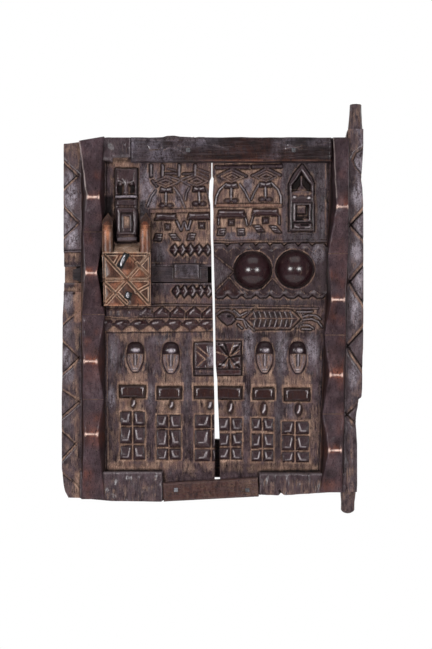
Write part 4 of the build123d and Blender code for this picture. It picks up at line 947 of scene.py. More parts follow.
# ---- shells ------------------------------------------------------------------------------------
def add_object(name, data):
    made = bpy.data.objects.new(name, data)
    bpy.context.scene.collection.objects.link(made)
    return made


def grid_faces(rows, columns, closed=False):
    """The quads of a grid of points, numbered row by row."""
    index = np.arange(rows * columns).reshape(rows, columns)
    if closed:
        index = np.hstack([index, index[:, :1]])
    return np.stack([index[:-1, :-1], index[:-1, 1:], index[1:, 1:], index[1:, :-1]], axis=-1).reshape(-1, 4)


def tube_faces(rows, around):
    """A closed grid with a face over each end."""
    ends = [list(range(around))[::-1], list(range((rows - 1) * around, rows * around))]
    return grid_faces(rows, around, closed=True).tolist() + ends


def put(mesh, key, values):
    layer = mesh.attributes.new(key, "FLOAT", "POINT")
    layer.data.foreach_set("value", np.ascontiguousarray(values, dtype=np.float32))


class Shells:
    """Several shells of one piece, with what they carry for the material."""

    def __init__(self):
        self.points, self.faces, self.values = [], [], {tone: [] for tone in TONES}
        self.count, self.materials = 0, []

    def add(self, points, faces, material=0, behind=0.0, **values):
        """Turns the faces away from the shell's middle; the middle of an open sheet is moved behind it."""
        a, b, c = (points[[face[k] for face in faces]] for k in range(3))
        middle = points.mean(axis=0) + (0, behind, 0)
        if (np.cross(b - a, c - a) * (a - middle)).sum() < 0:
            faces = [face[::-1] for face in faces]
        self.points.append(points)
        self.faces += [[int(i) + self.count for i in face] for face in faces]
        self.materials += [material] * len(faces)
        for key, held in self.values.items():
            held.append(np.broadcast_to(np.ravel(values.get(key, 0.0)).astype(float), (len(points),)))
        self.count += len(points)

    def build(self, name):
        mesh = bpy.data.meshes.new(name)
        mesh.from_pydata(np.concatenate(self.points).tolist(), [], self.faces)
        mesh.shade_smooth()
        mesh.polygons.foreach_set("material_index", self.materials)
        for key, held in self.values.items():
            put(mesh, key, np.concatenate(held))
        return add_object(name, mesh)


def curve_at(points, at):
    return np.interp(at, *zip(*points))


def spaced(stops):
    """Values from stops of (value, step)."""
    out = []
    for (a, step), (b, _) in zip(stops, stops[1:]):
        out += list(np.linspace(a, b, max(2, round((b - a) / step) + 1))[:-1])
    return np.array(out + [stops[-1][0]])


def fitted_grid(outline, us, vs):
    """Columns and rows keep to their places inside, and follow the outline near the edges."""
    left, right = curve_at(outline["left"], vs), curve_at(outline["right"], vs)
    near_left, near_right = fade(us - us[0], 10), fade(us[-1] - us, 8)
    u = us + near_left * (left - us[0])[:, None] + near_right * (right - us[-1])[:, None]
    top, bottom = curve_at(outline["top"], u[0]), curve_at(outline["bottom"], u[-1])
    near_top, near_foot = fade(vs - vs[0], 16)[:, None], fade(vs[-1] - vs, 14)[:, None]
    return u, vs[:, None] + near_top * (top - vs[0]) + near_foot * (bottom - vs[-1])


def plank(shells, outline, relief, u_stops, v_stops, seed):
    """The board: carved front, edges and adzed back."""
    us, vs = spaced(u_stops), spaced(v_stops)
    u, v = fitted_grid(outline, us, vs)
    r = relief(u, v)
    level = np.maximum(r.h, 9.0)
    narrow, cavity = blur(level, 1) - level, blur(level, 4) - level
    patchy = 0.75 + 0.25 * noise(u, v, 6, 51) + 0.25 * noise(u * 3, v, 9, 52)
    mud = ramp(r.mud * patchy + np.clip(cavity / 6, -0.5, 0.25))
    # Painted shade: narrow creases and deep hollows are darkened.
    dark = ramp(r.dark + np.clip(narrow / 2.0, 0, 0.5) * (1 - mud) + np.clip((cavity - 2.5) / 6, 0, 0.4))
    wear = ramp(r.wear + 0.1 * ramp(-narrow / 1.4 - 0.35))
    shells.add(placed(u, v, level), grid_faces(*u.shape), behind=1.0, mud=mud, wear=wear, dark=dark,
               shine=r.shine, pale=r.pale, red=r.red, copper=r.copper)
    border = plank_edges(shells, u, v, level, seed)
    plank_back(shells, border, us, vs, seed)


def plank_edges(shells, u, v, level, seed):
    """The border of the front, carried back in steps to the rear face. Gives the last ring of points."""
    index = np.arange(u.size).reshape(u.shape)
    loop = np.concatenate([index[0], index[1:, -1], index[-1, -2::-1], index[-2:0:-1, 0]])
    uu, vv, hh = u.ravel()[loop], v.ravel()[loop], level.ravel()[loop]
    du, dv = uu - uu.mean(), vv - vv.mean()
    reach = np.hypot(du, dv)
    steps = (0.0, 0.12, 0.4, 0.7, 0.9, 1.0)
    rings = []
    for k, step in enumerate(steps):
        inward = 0.35 * np.abs(noise(uu * 2 + k * 7, vv * 2, 6, seed))
        if step in (0.0, 1.0):
            inward = 0.5 * step
        rings.append(placed(uu - du / reach * inward, vv - dv / reach * inward, hh * (1 - step) + 0.4 * step))
    faces = grid_faces(len(steps), len(loop), closed=True)
    shells.add(np.concatenate(rings), faces, mud=0.25, shine=0.1, pale=0.05)
    return rings[-1]


def plank_back(shells, border, us, vs, seed):
    """Adze marks over a loose net of points inside the border."""
    spread = 5.0
    across, down = np.arange(us[0] + 3, us[-1] - 2, spread), np.arange(vs[0] + 4, vs[-1] - 3, spread)
    net = [(a, b) for a in across for b in down]
    net = np.array(net) + np.random.default_rng(seed).uniform(-1.2, 1.2, (len(net), 2))
    flat_border = [Vector((p[0], p[2])) for p in border]
    flat_net = [Vector((float(to_x(a)), float(to_z(b)))) for a, b in net]
    edges = [(k, (k + 1) % len(flat_border)) for k in range(len(flat_border))]
    found, _, faces, _, _, _ = delaunay_2d_cdt(flat_border + flat_net, edges, [], 1, 1e-7)
    x, z = np.array([(p[0], p[1]) for p in found]).T
    u, v = x * 1000 / PITCH + U0, V0 - z * 1000 / PITCH
    hollow = np.abs(noise(u, v, 13, seed + 1)) * 1.6 + 0.7 * np.abs(noise(u * 2.2, v, 11, seed + 2))
    inside = ramp(np.min([u - us[0], us[-1] - u, v - vs[0], vs[-1] - v], axis=0) / 8)
    back = np.stack([x, to_y(0.4 + hollow * inside), z], axis=-1)
    shells.add(back, faces, behind=-1.0, mud=ramp(0.25 + 0.25 * hollow), shine=0.05,
               pale=0.1 + 0.15 * inside * (hollow < 0.5))


def ridge(shells, keys, feet, floors, seed, slant=0.0, tunnel=None, notch=None):
    """A faceted ridge that swells and narrows. A key is v, left, right and level of its crest. The left ridge
    bridges the bolt's tunnel, steps back for the lock in a notch, and has a muddy streak beside both. Its
    flanks are darkened as painted shade, and its peaks carry a light line with small corner marks that are
    partly worn wood and partly painted highlight."""
    turns = [key[0] for key in keys]
    inner_keys = keys[1:-1]
    stops = [spaced([(turns[0], 1.0), (turns[-1], 1.0)])]
    stops += [np.array([-0.9, -0.4, 0, 0.4, 0.9]) + key[0] for key in inner_keys]
    for edges in (tunnel, notch):
        if edges:
            stops.append([edges[0], edges[0] + 0.02, edges[1] - 0.02, edges[1]])
    vs = np.unique(np.concatenate(stops))
    left, right, level = (np.interp(vs, turns, [key[c] for key in keys]) for c in (1, 2, 3))
    foot_left, foot_right = curve_at(feet["left"], vs), curve_at(feet["right"], vs)
    floors = [np.full(vs.shape, floor) for floor in floors]
    if tunnel:
        inside = (vs > tunnel[0] + 0.01) & (vs < tunnel[1] - 0.01)
        floors = [np.where(inside, TUNNEL_ROOF, floor) for floor in floors]
    if notch:
        inside = (vs > notch[0] + 0.01) & (vs < notch[1] - 0.01)
        right = np.where(inside, np.minimum(right, notch[2]), right)
        foot_right = np.where(inside, right + 0.5, foot_right)

    nearest_key = [min(inner_keys, key=lambda key: abs(key[0] - v)) for v in vs]
    offset = vs - [key[0] for key in nearest_key]
    nearest = np.abs(offset)
    peak = np.array([key[3] == CREST for key in nearest_key])
    still = vs * 0
    wave = 0.35 * noise(vs, still, 7, seed)
    edge = fade(nearest, 1.3) * peak
    burnish = fade(nearest, np.where(offset < 0, 9, 4)) ** 1.5 * peak
    streak = ramp(1.2 - np.abs(vs - 312) / 32) * (tunnel is not None)

    columns = []
    # The left flank: mud, and painted shade that is deepest along a groove.
    for f in np.linspace(0, 1, 9)[:-1]:
        groove = 0.8 * bell(f - 0.45, 0.12)
        columns.append((
            foot_left + (left - foot_left) * f ** 1.2 + wave,
            floors[0] + (level - 0.8 - floors[0]) * f - groove,
            dict(mud=0.65 - 0.75 * f + streak, dark=(0.35 + groove * 0.8) * (1 - streak)),
        ))
    for f in np.linspace(0, 1, 15):
        g = abs(2 * f - 1)
        round_off = 0.9 * (g > 0.97) + 0.25 * (g > 0.8)
        hollow = (1 - g ** 2) * fade(nearest, 14) * peak
        waist_line = fade(nearest, 0.6) * ~peak
        uneven = 0.5 * noise(vs + f * 9, still + f * 11, 6, seed + 2)
        uneven += 0.15 * noise(vs * 3, still + f * 30, 4, seed + 3)
        # At the peaks, a light line and small corner marks: partly worn wood, partly painted highlight.
        rubbed = edge * (0.9 + 0.8 * noise(still + f * 9, vs, 3, seed + 8))
        horn = fade(nearest, 2.8) * peak * (0.82 < g)
        columns.append((
            left + (right - left) * f + wave * (1 - 1.3 * f),
            level - round_off - hollow - waist_line + uneven,
            dict(
                mud=0.9 * fade(nearest, 0.8) * ~peak,
                wear=0.55 * (f == 0) * (vs < 200) + 0.35 * edge ** 2,
                pale=0.6 * (f == 0) + np.clip(0.55 * noise(vs, still + f * 12, 17, seed + 5) + 0.05, 0, 0.4),
                dark=np.clip(0.5 * noise(vs + 40, still + f * 16, 13, seed + 6), 0, 0.35) * (edge < 0.1),
                copper=np.clip(rubbed + horn * 1.1, 0, 1.2),
                burnish=burnish * (0.55 + 0.5 * noise(vs, still + f * 20, 5, seed + 9)),
            ),
        ))
    # The right flank, darkened towards its foot as painted shade.
    for f in np.linspace(1, 0, 9)[1:]:
        columns.append((
            foot_right + (right - foot_right) * f ** 1.2 - wave,
            floors[1] + (level - 0.8 - floors[1]) * f,
            dict(mud=0.45 - 0.6 * f, dark=0.75 - 0.55 * f),
        ))
    columns += [(foot_right, floors[1] - 0.01, {}), (foot_left, floors[0] - 0.01, {})]

    u, h = (np.stack([column[k] for column in columns], axis=1) for k in (0, 1))
    v = np.repeat(vs[:, None], len(columns), axis=1)
    v = v + slant * (u - u.mean()) * fade(v - turns[0], 12)
    tones = {
        tone: np.stack([np.broadcast_to(column[2].get(tone, 0.0), vs.shape) for column in columns], axis=1)
        for tone in ("mud", "wear", "dark", "copper", "pale", "burnish")
    }
    tones["mud"] = ramp(tones["mud"])
    glow = 0.2 * (fade(nearest, 16) * peak) ** 2 + 0.15 * ramp((vs - 330) / 100)
    red = ramp(glow[:, None] + 0.3 * noise(u, v, 11, seed + 7) + 1.5 * ramp(tones.pop("burnish")))
    shells.add(placed(u, v, h), tube_faces(*u.shape), material=1, shine=0.3, red=red, **tones)


def dome(shells, u, v, radius, level=31.5):
    """A polished half ball, darkened towards its rim as painted shade."""
    rings, around = 26, 72
    turn = np.linspace(0, 2 * pi, around, endpoint=False)
    tilts, turns = np.meshgrid(np.linspace(0.02, pi / 2, rings), turn, indexing="ij")
    reach = radius * np.sin(tilts) * (1 + 0.006 * noise(tilts * 30, turns * 12, 9, 71))
    height = 0.98 * radius * PITCH
    points = placed(u + reach * np.cos(turns), v + reach * np.sin(turns), level + height * np.cos(tilts))
    faces = grid_faces(rings, around, closed=True).tolist()
    faces += [[k, (k + 1) % around, rings * around] for k in range(around)]
    # Painted shade towards the rim.
    shade = np.append(0.12 + 0.8 * ramp((tilts - 0.75) / 0.8), 0.12)
    points = np.vstack([points, placed(u, v, level + height)])
    shells.add(points, faces, behind=0.1, shine=1.0, red=0.2, dark=shade)


def mask(shells, u, v, half_u, half_v):
    """A head with a domed brow over a flatter face: long nose, hollow cheeks and a small mouth. Its outline,
    furrows and mouth are darkened as painted shade; a painted highlight lies low on the brow, whose rest is
    darkened, and painted highlights run down one side of the nose and along the lips.
    """
    rings, around = 34, 100
    turn = np.linspace(0, 2 * pi, around, endpoint=False)
    # How far the face reaches in each direction, from its half widths down its length.
    reach = np.linspace(0, 1.2, 600)[:, None]
    lengths = [-1, -0.92, -0.78, -0.45, 0.05, 0.34, 0.53, 0.73, 0.87, 1]
    half_widths = [0.38, 0.64, 0.84, 1, 1, 0.92, 0.80, 0.62, 0.47, 0.28]
    across = np.interp(reach * np.sin(turn), lengths, half_widths)
    within = (np.abs(reach * np.cos(turn)) < across) & (np.abs(reach * np.sin(turn)) < 1)
    limit = reach[within.cumprod(axis=0).sum(axis=0) - 1, 0]
    rr = np.repeat(np.linspace(0, 1, rings)[:, None], around, axis=1)
    x, y = rr * limit * np.cos(turn), rr * limit * np.sin(turn)
    px = x * half_u

    body = np.sqrt(ramp(1 - rr ** 4))
    brow_line = -0.26 + 0.05 * x ** 2
    below = y > brow_line
    crown = np.sqrt(ramp(1 - (x * 0.8) ** 2 - ((y + 0.50) / 0.56) ** 2))
    inner, rim = rr < 0.84, ramp((rr - 0.82) / 0.05)
    nose = fade(np.abs(px), 1.3) * ramp((y - brow_line) / 0.05) * ramp((0.50 - y) / 0.05)
    cheek = bell(np.abs(px) - 2.5 - 3.2 * (0.42 - y), 0.7) * (y > brow_line + 0.08) * (y < 0.66)
    furrow = bell(np.abs(px) - 1.7, 0.45) * (y > brow_line + 0.04) * (y < 0.5)
    lips = bell(px, 2.6) * bell(y - 0.70, 0.05) + bell(px, 2.2) * bell(y - 0.83, 0.04)
    face = 7.5 * body + 1.2 * rim * body - 0.8 * (y - 0.2) ** 2
    face += 4.0 * nose + 1.2 * cheek * inner - 0.9 * furrow + 1.6 * lips
    h = GROUND + np.where(below, face, 5.5 * body + 11.0 * crown)
    h[-1] = GROUND - 2

    mouth = bell(y - 0.765, 0.03) * (np.abs(px) < 2.6)
    outline, ledge = bell(rr - 0.86, 0.035), bell(y - brow_line, 0.04)
    mud = np.where(below, 0.35 * inner + 0.55 * cheek + 0.7 * outline + 0.7 * ledge, 0.0) * (1 - nose)
    # Painted shade darkens the furrows, the mouth and the outline.
    dark = below * (0.75 * furrow + 0.6 * mouth) + 0.9 * (rr > 0.95)
    # A painted highlight low on the brow; the rest of the brow is darkened as painted shade, and painted
    # highlights run down one side of the nose and along the lips.
    glow = 1.25 * ramp(1.3 - np.hypot((x - 0.1) / 0.42, (y + 0.46) / 0.15))
    shells.add(
        placed(u + px, v + y * half_v, h), grid_faces(rings, around, closed=True), behind=1.0,
        mud=ramp(mud), red=0.1,
        wear=np.where(below, 0.5 * nose * (px > -0.2) + 0.35 * lips, 0.35 * (glow > 1)),
        shine=np.where(below, 0.3 * inner, 0.55),
        pale=np.where(below, 0.4 * inner + 1.4 * nose * (px > -0.4) + 0.9 * lips, glow),
        dark=ramp(np.maximum(dark, ~below * (0.5 - glow))))


def pivot(shells, profile, seed):
    """A pivot, from its (distance along the leaning axis, radius) profile in mm; split and worn by hand."""
    lean, rings, around = radians(1.12), 60, 56
    length = np.linspace(profile[0][0], profile[-1][0], rings)
    turn = np.linspace(0, 2 * pi, around, endpoint=False)
    ll, aa = np.meshgrid(length, turn, indexing="ij")
    rr = np.repeat(curve_at(profile, length)[:, None], around, axis=1)
    facets = -0.35 * np.abs(noise(aa * 9, ll * 0.5, 11, seed))
    facets -= 0.5 * np.abs(noise(aa * 26, ll * 0.4, 9, seed + 1))
    rr = np.maximum(rr + facets * ramp(rr / 6), 0.05)
    points = np.stack([rr * np.cos(aa) + ll * sin(lean), rr * np.sin(aa), ll * cos(lean)], axis=-1)
    shells.add(points.reshape(-1, 3) / 1000, tube_faces(rings, around), mud=0.3, wear=0.02, shine=0.2,
               pale=0.1, red=0.15, dark=0.12)


# Both planks with what is carved on them; each is one piece.
left = Shells()
plank(left, LEFT_OUTLINE, left_relief,
      [(62, 0.95), (81, 1.3), (88, 3), (100, 1.3), (104, 0.78), (211.6, 0.78)],
      [(138, 1.5), (162, 0.72), (256, 0.86), (284, 0.8), (336, 0.85), (462, 1.1), (500, 1.1)], seed=81)
ridge(left,
      [(139.4, 79.4, 104.6, WAIST), (198.5, 88.7, 100.6, CREST), (232.5, 84, 104.4, WAIST),
       (273.5, 87, 98.2, CREST), (314.6, 82.8, 105.6, WAIST), (361, 85.2, 98.2, CREST),
       (399, 83.4, 104.4, WAIST), (433, 86.2, 99.2, CREST), (498.2, 82.4, 105, WAIST)],
      {"left": [(138, 79.2), (160, 81.2), (498, 81.6)], "right": [(138, 105), (250, 104.6), (500, 105.6)]},
      (EDGE_FLOOR, FIELD_FLOOR), seed=61, slant=-0.17,
      tunnel=(BOLT_V - 8.1, BOLT_V + 8.1), notch=(255.6, 306.4, 102.4))
mask(left, 135.2, 357.4, 8.8, 15.8)
mask(left, 170.8, 358.2, 8.9, 16.4)

right = Shells()
plank(right, RIGHT_OUTLINE, right_relief,
      [(213, 0.78), (322, 1.2), (328, 2.6), (344, 1), (363, 0.95)],
      [(129.5, 1.5), (162, 0.72), (236, 0.82), (300, 0.8), (336, 0.85), (462, 1.1), (494, 1.1)], seed=91)
ridge(right,
      [(139, 332.6, 348.2, WAIST), (208, 335.5, 347, CREST), (254, 327.4, 347.2, WAIST),
       (300, 330.6, 343.2, CREST), (335, 323.6, 345.4, WAIST), (374.4, 329, 341.2, CREST),
       (413.5, 321.6, 343.6, WAIST), (449, 328, 340.2, CREST), (491.4, 319.6, 341.4, WAIST)],
      {"left": [(138, 331.8), (254, 326.4), (492, 319)],
       "right": [(138, 349.4), (254, 348.4), (400, 344.6), (492, 343.4)]},
      (FIELD_FLOOR, EDGE_FLOOR), seed=65)
mask(right, 264.6, 357.8, 8.8, 16.6)
mask(right, 297.8, 358, 8.8, 16.6)
dome(right, 252.6, 270.2, 18.5)
dome(right, 294.6, 269.2, 18.7)
pivot(right, [(-16, 0.5), (-15, 6), (-13, 10), (-10.5, 12.6), (-8, 13.9), (8, 13.9), (44, 17.4)], 101)
pivot(right, [(746, 15.4), (786, 12.4), (803, 11.9), (804.4, 11.2), (804.9, 8)], 105)


# ---- pieces made from a CAD node: rounded, worn and tooled ----------------------------------------
def read(items, key, width, kind=float):
    values = np.empty(len(items) * width, kind)
    items.foreach_get(key, values)
    return values.reshape(-1, width)


def worn_copy(name, node, voxel, shape, smooth=2):
    """A rounded copy of a node. The shape function gets points and normals in mm, and returns how far to move
    each point along its normal, and the tones."""
    copy = add_object(name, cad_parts[node].data.copy())
    copy.data.materials.clear()
    remesh = copy.modifiers.new("remesh", "REMESH")
    remesh.mode = "VOXEL"
    remesh.voxel_size = voxel / 1000
    relax = copy.modifiers.new("relax", "SMOOTH")
    relax.factor = 0.5
    relax.iterations = smooth
    bpy.context.view_layer.update()
    mesh = bpy.data.meshes.new_from_object(copy.evaluated_get(bpy.context.evaluated_depsgraph_get()))
    copy.modifiers.clear()
    copy.data = mesh
    points, normals = read(mesh.vertices, "co", 3) * 1000, read(mesh.vertices, "normal", 3)
    move, tones = shape(points, normals)
    points = points + normals * move[:, None]
    mesh.vertices.foreach_set("co", (points / 1000).ravel())
    mesh.update()

    # What stands out is worn, and what lies deep holds mud.
    ends = read(mesh.edges, "vertices", 2, int)
    degree = np.maximum(np.bincount(ends.ravel(), minlength=len(points)), 1)[:, None]
    evened = points
    for _ in range(4):
        total = np.zeros_like(points)
        np.add.at(total, ends[:, 0], evened[ends[:, 1]])
        np.add.at(total, ends[:, 1], evened[ends[:, 0]])
        evened = (evened + total / degree) / 2
    swell = ((points - evened) * read(mesh.vertices, "normal", 3)).sum(axis=1) / voxel
    for tone, amount in (("wear", swell * 2.2), ("mud", -swell * 2.6)):
        tones[tone] = np.clip(tones.get(tone, 0) + ramp(amount), 0, 1.2)
    for tone in TONES:
        put(mesh, tone, np.broadcast_to(np.asarray(tones.get(tone, 0.0), float), (len(points),)))
    mesh.shade_smooth()
    return copy


def grid_uv(p):
    return p[:, 0] / PITCH + U0, V0 - p[:, 2] / PITCH


def top_rail_shape(p, n):
    """Shaved in its middle, frayed along the top, and scratched."""
    u, v = grid_uv(p)
    front, above = ramp(-n[:, 1]), ramp(n[:, 2])
    scratches = np.zeros(len(p))
    for line in (
        [(148, 147), (150, 151), (158, 150.4), (162, 148.6)], [(164, 151), (170, 148.4), (177, 149.6)],
        [(178, 146.6), (190, 148)], [(178, 150.6), (184, 153.6), (190, 152)], [(286, 149.6), (300, 147.4)],
        [(288, 146.6), (296, 148.8)], [(214, 146), (228, 150)], [(133, 140.6), (206, 141.4)],
    ):
        scratches = np.maximum(scratches, ramp(1.1 - distance_to(u, v, line)) * front)
    shavings = ramp((u - 178) / 20) * ramp((300 - u) / 60)
    fray = ramp((u - 160) / 4) * ramp((212 - u) / 30) * above
    move = 0.7 * noise3(p, 38, 111) + 0.4 * noise(u * 0.6, v * 5, 6, 112) - 0.9 * scratches
    move += 0.15 * noise((u + v * 1.2) * 0.5, v * 3.4, 4, 113) * shavings * front
    move += 1.1 * noise(u * 3, v * 0, 5, 114) * fray
    return move, {
        "mud": 0.3 * above,
        "shine": (0.5 + 0.2 * noise(u, v, 22, 115)) * ramp(1 - 1.5 * n[:, 2]),
        "pale": ramp(0.5 * fade(u - 134, 80) + 0.5 * noise(u, v, 12, 116) + scratches),
        "red": ramp(0.1 + 0.8 * fade(np.abs(u - 262), 50) + 0.4 * noise(u, v, 20, 117)),
        "dark": 0.6 * ramp(noise(u * 0.5, v * 2, 9, 118) * ramp((u - 190) / 30) + 0.2),
        "copper": 0.45 * fade(np.abs(v - 161.2), 1.0) * ramp((u - 196) / 20),
    }


def bottom_rail_shape(p, n):
    """Smooth, but rough at its right end."""
    u, v = grid_uv(p)
    front = ramp(-n[:, 1])
    rough = ramp((u - 236) / 12) * front
    move = 0.6 * noise3(p, 30, 121) + 0.35 * noise(u * 0.7, v * 4, 6, 122) * front
    return move + rough * 0.9 * noise(u * 1.4, v * 2, 5, 123), {
        "mud": 0.2 + 0.35 * rough, "shine": 0.4 - 0.3 * rough, "pale": 0.15 + 0.3 * rough, "copper": 0.12,
        "red": ramp(0.55 + 0.5 * noise(u * 0.5, v * 2, 14, 124)) * (1 - 0.6 * rough),
    }


def batten_shape(p, n):
    u, v = grid_uv(p)
    move = 1.0 * noise3(p, 45, 131) + 0.5 * noise(u * 0.4, v * 4, 7, 132)
    return move, {"mud": 0.2, "shine": 0.1, "pale": 0.1}


def case_shape(p, n):
    """The lock's face with its engraved star, and two round horns. Its engraved lines and sides are darkened
    as painted shade, and a painted highlight lies across each horn's front.
    """
    u, v = grid_uv(p)
    shoulder = 253.4
    front = (n[:, 1] < -0.5) & (p[:, 1] < -45)
    face, horn = front & (v > shoulder), (v < shoulder) & ((u < 115) | (u > 140))
    slope = (v < shoulder) & ~horn
    near = np.min([distance_to(u, v, line) for line in (
        [(105, 255), (149, 303.5)], [(150.6, 255), (108, 303.5)], [(104, 280.3), (151, 280.3)],
        [(104.6, 282), (117.5, 294)], [(119.5, 294), (128, 303)], [(121.5, 255), (115.4, 266)],
        [(138, 264), (151, 277)], [(137.5, 292.5), (150.6, 285.4)], [(104, 255.2), (151, 255.2)],
        [(105, 255), (105.8, 304)], [(150.8, 255), (150.6, 304)],
    )], axis=0)
    bulge = ramp(1 - ((u - np.where(u < 128, 108.6, 145.4)) / 5.4) ** 2)
    tip = horn & (v < 228 - 6 * bulge)
    move = 0.45 * noise3(p, 26, 141) + 0.25 * noise3(p, 8, 143)
    move += face * (1.2 * (1 - np.exp(-np.maximum(near - 1, 0) / 3.0)) - 1.5 * fade(near, 1.5) ** 0.5)
    move += horn * front * (3.2 * bulge - 1.6)

    # Painted shade darkens the engraved lines and beside them, the case's sides, and the horns' sides and
    # edges.
    engraved = 0.8 * ramp(1.2 - near / 0.9) + 0.6 * fade(np.abs(near - 2.7), 0.9)
    side = 0.5 * ramp(np.abs(n[:, 0])) * (v > 253) * (p[:, 1] > -50)
    dark = face * engraved + horn * (0.9 * (n[:, 1] > -0.5) + front * 0.55 * (1 - bulge)) + 0.45 * tip + side
    dark = ramp(ramp(dark) + 0.35 * face * ramp(noise(u, v, 11, 147)) - 0.4 * slope)
    cells = ramp(noise(u, v, 7, 145) + 0.5)
    # A painted highlight across the front of each horn, carried in the copper tone.
    glow = ramp(bulge - 0.5) * 2.2 * np.clip(1.2 - np.abs(v - 232) / 12, 0.1, 1) * (horn & front & ~tip)
    return move, {
        "mud": 1.4 * face * fade(np.abs(near - 1.45), 0.6) + 0.9 * slope,
        "shine": np.where(horn, 0.15, 0.35),
        "red": np.where(tip, 0.1, 0.9 * cells),
        "pale": np.where(tip, 0.4, 0.0),
        "dark": dark,
        "copper": (0.75 + 0.5 * noise(u * 1.4, v, 5, 149)) * glow + 0.9 * face * ramp(cells - 0.55),
    }


def bolt_shape(p, n):
    u, v = grid_uv(p)
    grip = p[:, 1] < -18
    move = 0.35 * noise3(p, 30, 151) + 0.2 * noise(u * 0.5, v * 6, 5, 152) * ramp(-n[:, 1])
    return move, {
        "mud": 0.12 + 0.25 * noise(u, v, 8, 154),
        "shine": 0.4 + 0.3 * grip,
        # The grip is paler, with a painted highlight at its right end; the bolt is darker towards its left
        # tip.
        "pale": 0.15 + 0.35 * grip + 0.4 * ramp((u - 196) / 4) * grip,
        "red": 0.12,
        "dark": 0.15 + 0.2 * noise(u * 0.4, v * 3, 6, 153) - 0.1 * grip + 0.4 * (u < 90),
    }


def iron_shape(p, n):
    """Hammered; the lock's two plates carry a painted highlight along their left rim and in their middle and
    are darkened elsewhere, and the nails are dull.
    """
    u, v = grid_uv(p)
    lean = (v - 261.4) * 0.35
    upper = np.hypot((u - 124.4 + lean) / 1.5, (v - 261.4) / 4.6)
    lower = np.hypot((u - 129.2) / 1.6, (v - 295.6) / 2.2)
    near = np.minimum(upper, lower)
    left_side = fade(np.abs(near - 1), 0.35) * (u < np.where(v < 280, 124.6 - lean, 129.6))
    bright = ramp(left_side * 1.3 + 0.8 * ramp(0.6 - near)) * (n[:, 1] < -0.5)
    nail = (v < 200) | (v > 400)
    nail_dark = np.where(v < 200, 0.62, np.where(u < 200, 0.2, 0.6))
    dark = np.where(nail, nail_dark, ramp(1 - 2 * bright) * np.where(near < 1, 0.25, 1.0))
    move = 0.3 * noise3(p, 5, 161) + 0.2 * noise3(p, 2.2, 163)
    return move, {"shine": 0.6, "pale": bright + 0.2 * nail, "dark": dark}


top_rail = worn_copy("top_rail_worn", "top_rail", 1.3, top_rail_shape)
bottom_rail = worn_copy("bottom_rail_worn", "bottom_rail", 1.1, bottom_rail_shape)
batten = worn_copy("back_batten_worn", "back_batten", 1.6, batten_shape)
case = worn_copy("lock_case_carved", "lock_case", 0.9, case_shape)
bolt = worn_copy("lock_bolt_carved", "lock_bolt", 1.1, bolt_shape)
left_plank, right_plank = left.build("left_plank_carved"), right.build("right_plank_carved")
irons = {
    node: worn_copy(node + "_forged", node, voxel, iron_shape, smooth=1)
    for node, voxel in (
        ("upper_lock_staple", 0.5), ("lower_lock_staple", 0.5), ("top_rail_nails", 0.45),
        ("bottom_rail_nails", 0.45), ("back_batten_nails", 0.45),
    )
}


# ---- materials ---------------------------------------------------------------------------------
def colour(r, g, b):
    """A display colour of 0 to 255 as Blender's linear colour."""
    return *((c / 255 / 12.92) if c <= 10 else ((c / 255 + 0.055) / 1.055) ** 2.4 for c in (r, g, b)), 1.0


class Nodes:
    """A short way to write the nodes of a material or the world."""

    def __init__(self, owner):
        owner.use_nodes = True
        self.owner, self.tree = owner, owner.node_tree
        self.shader = self.tree.nodes.get("Principled BSDF")

    def place(self, value, socket):
        if isinstance(value, bpy.types.NodeSocket):
            self.tree.links.new(value, socket)
        else:
            socket.default_value = value

    def node(self, kind, inputs=(), **settings):
        """A new node, with its settings and the values or sockets that go into it."""
        made = self.tree.nodes.new("ShaderNode" + kind)
        for key, value in settings.items():
            setattr(made, key, value)
        for key, value in dict(inputs).items():
            self.place(value, made.inputs[key])
        return made

    def shade(self, **inputs):
        for key, value in inputs.items():
            self.place(value, self.shader.inputs[key.replace("_", " ")])

    def attribute(self, name):
        return self.node("Attribute", attribute_name=name).outputs["Fac"]

    def noise(self, scale, stretch=(1, 1, 1), detail=4.0, rough=0.6):
        where = self.node("TexCoord").outputs["Object"]
        stretched = self.node("Mapping", {"Scale": stretch, "Vector": where}).outputs["Vector"]
        inputs = {"Scale": scale, "Detail": detail, "Roughness": rough, "Vector": stretched}
        return self.node("TexNoise", inputs).outputs["Fac"]

    def math(self, kind, a, b, clamp=False):
        return self.node("Math", {0: a, 1: b}, operation=kind, use_clamp=clamp).outputs[0]

    def add(self, a, b, clamp=False):
        return self.math("ADD", a, b, clamp)

    def times(self, a, b, clamp=False):
        return self.math("MULTIPLY", a, b, clamp)

    def range(self, value, low, high, to_low=0.0, to_high=1.0):
        inputs = {"Value": value, "From Min": low, "From Max": high, "To Min": to_low, "To Max": to_high}
        return self.node("MapRange", inputs).outputs["Result"]

    def mix(self, factor, a, b):
        return self.node("Mix", {0: factor, 6: a, 7: b}, data_type="RGBA").outputs[2]

    def bump(self, height, distance):
        bump = self.node("Bump", {"Strength": 0.5, "Distance": distance, "Height": height})
        self.shade(Normal=bump.outputs["Normal"])


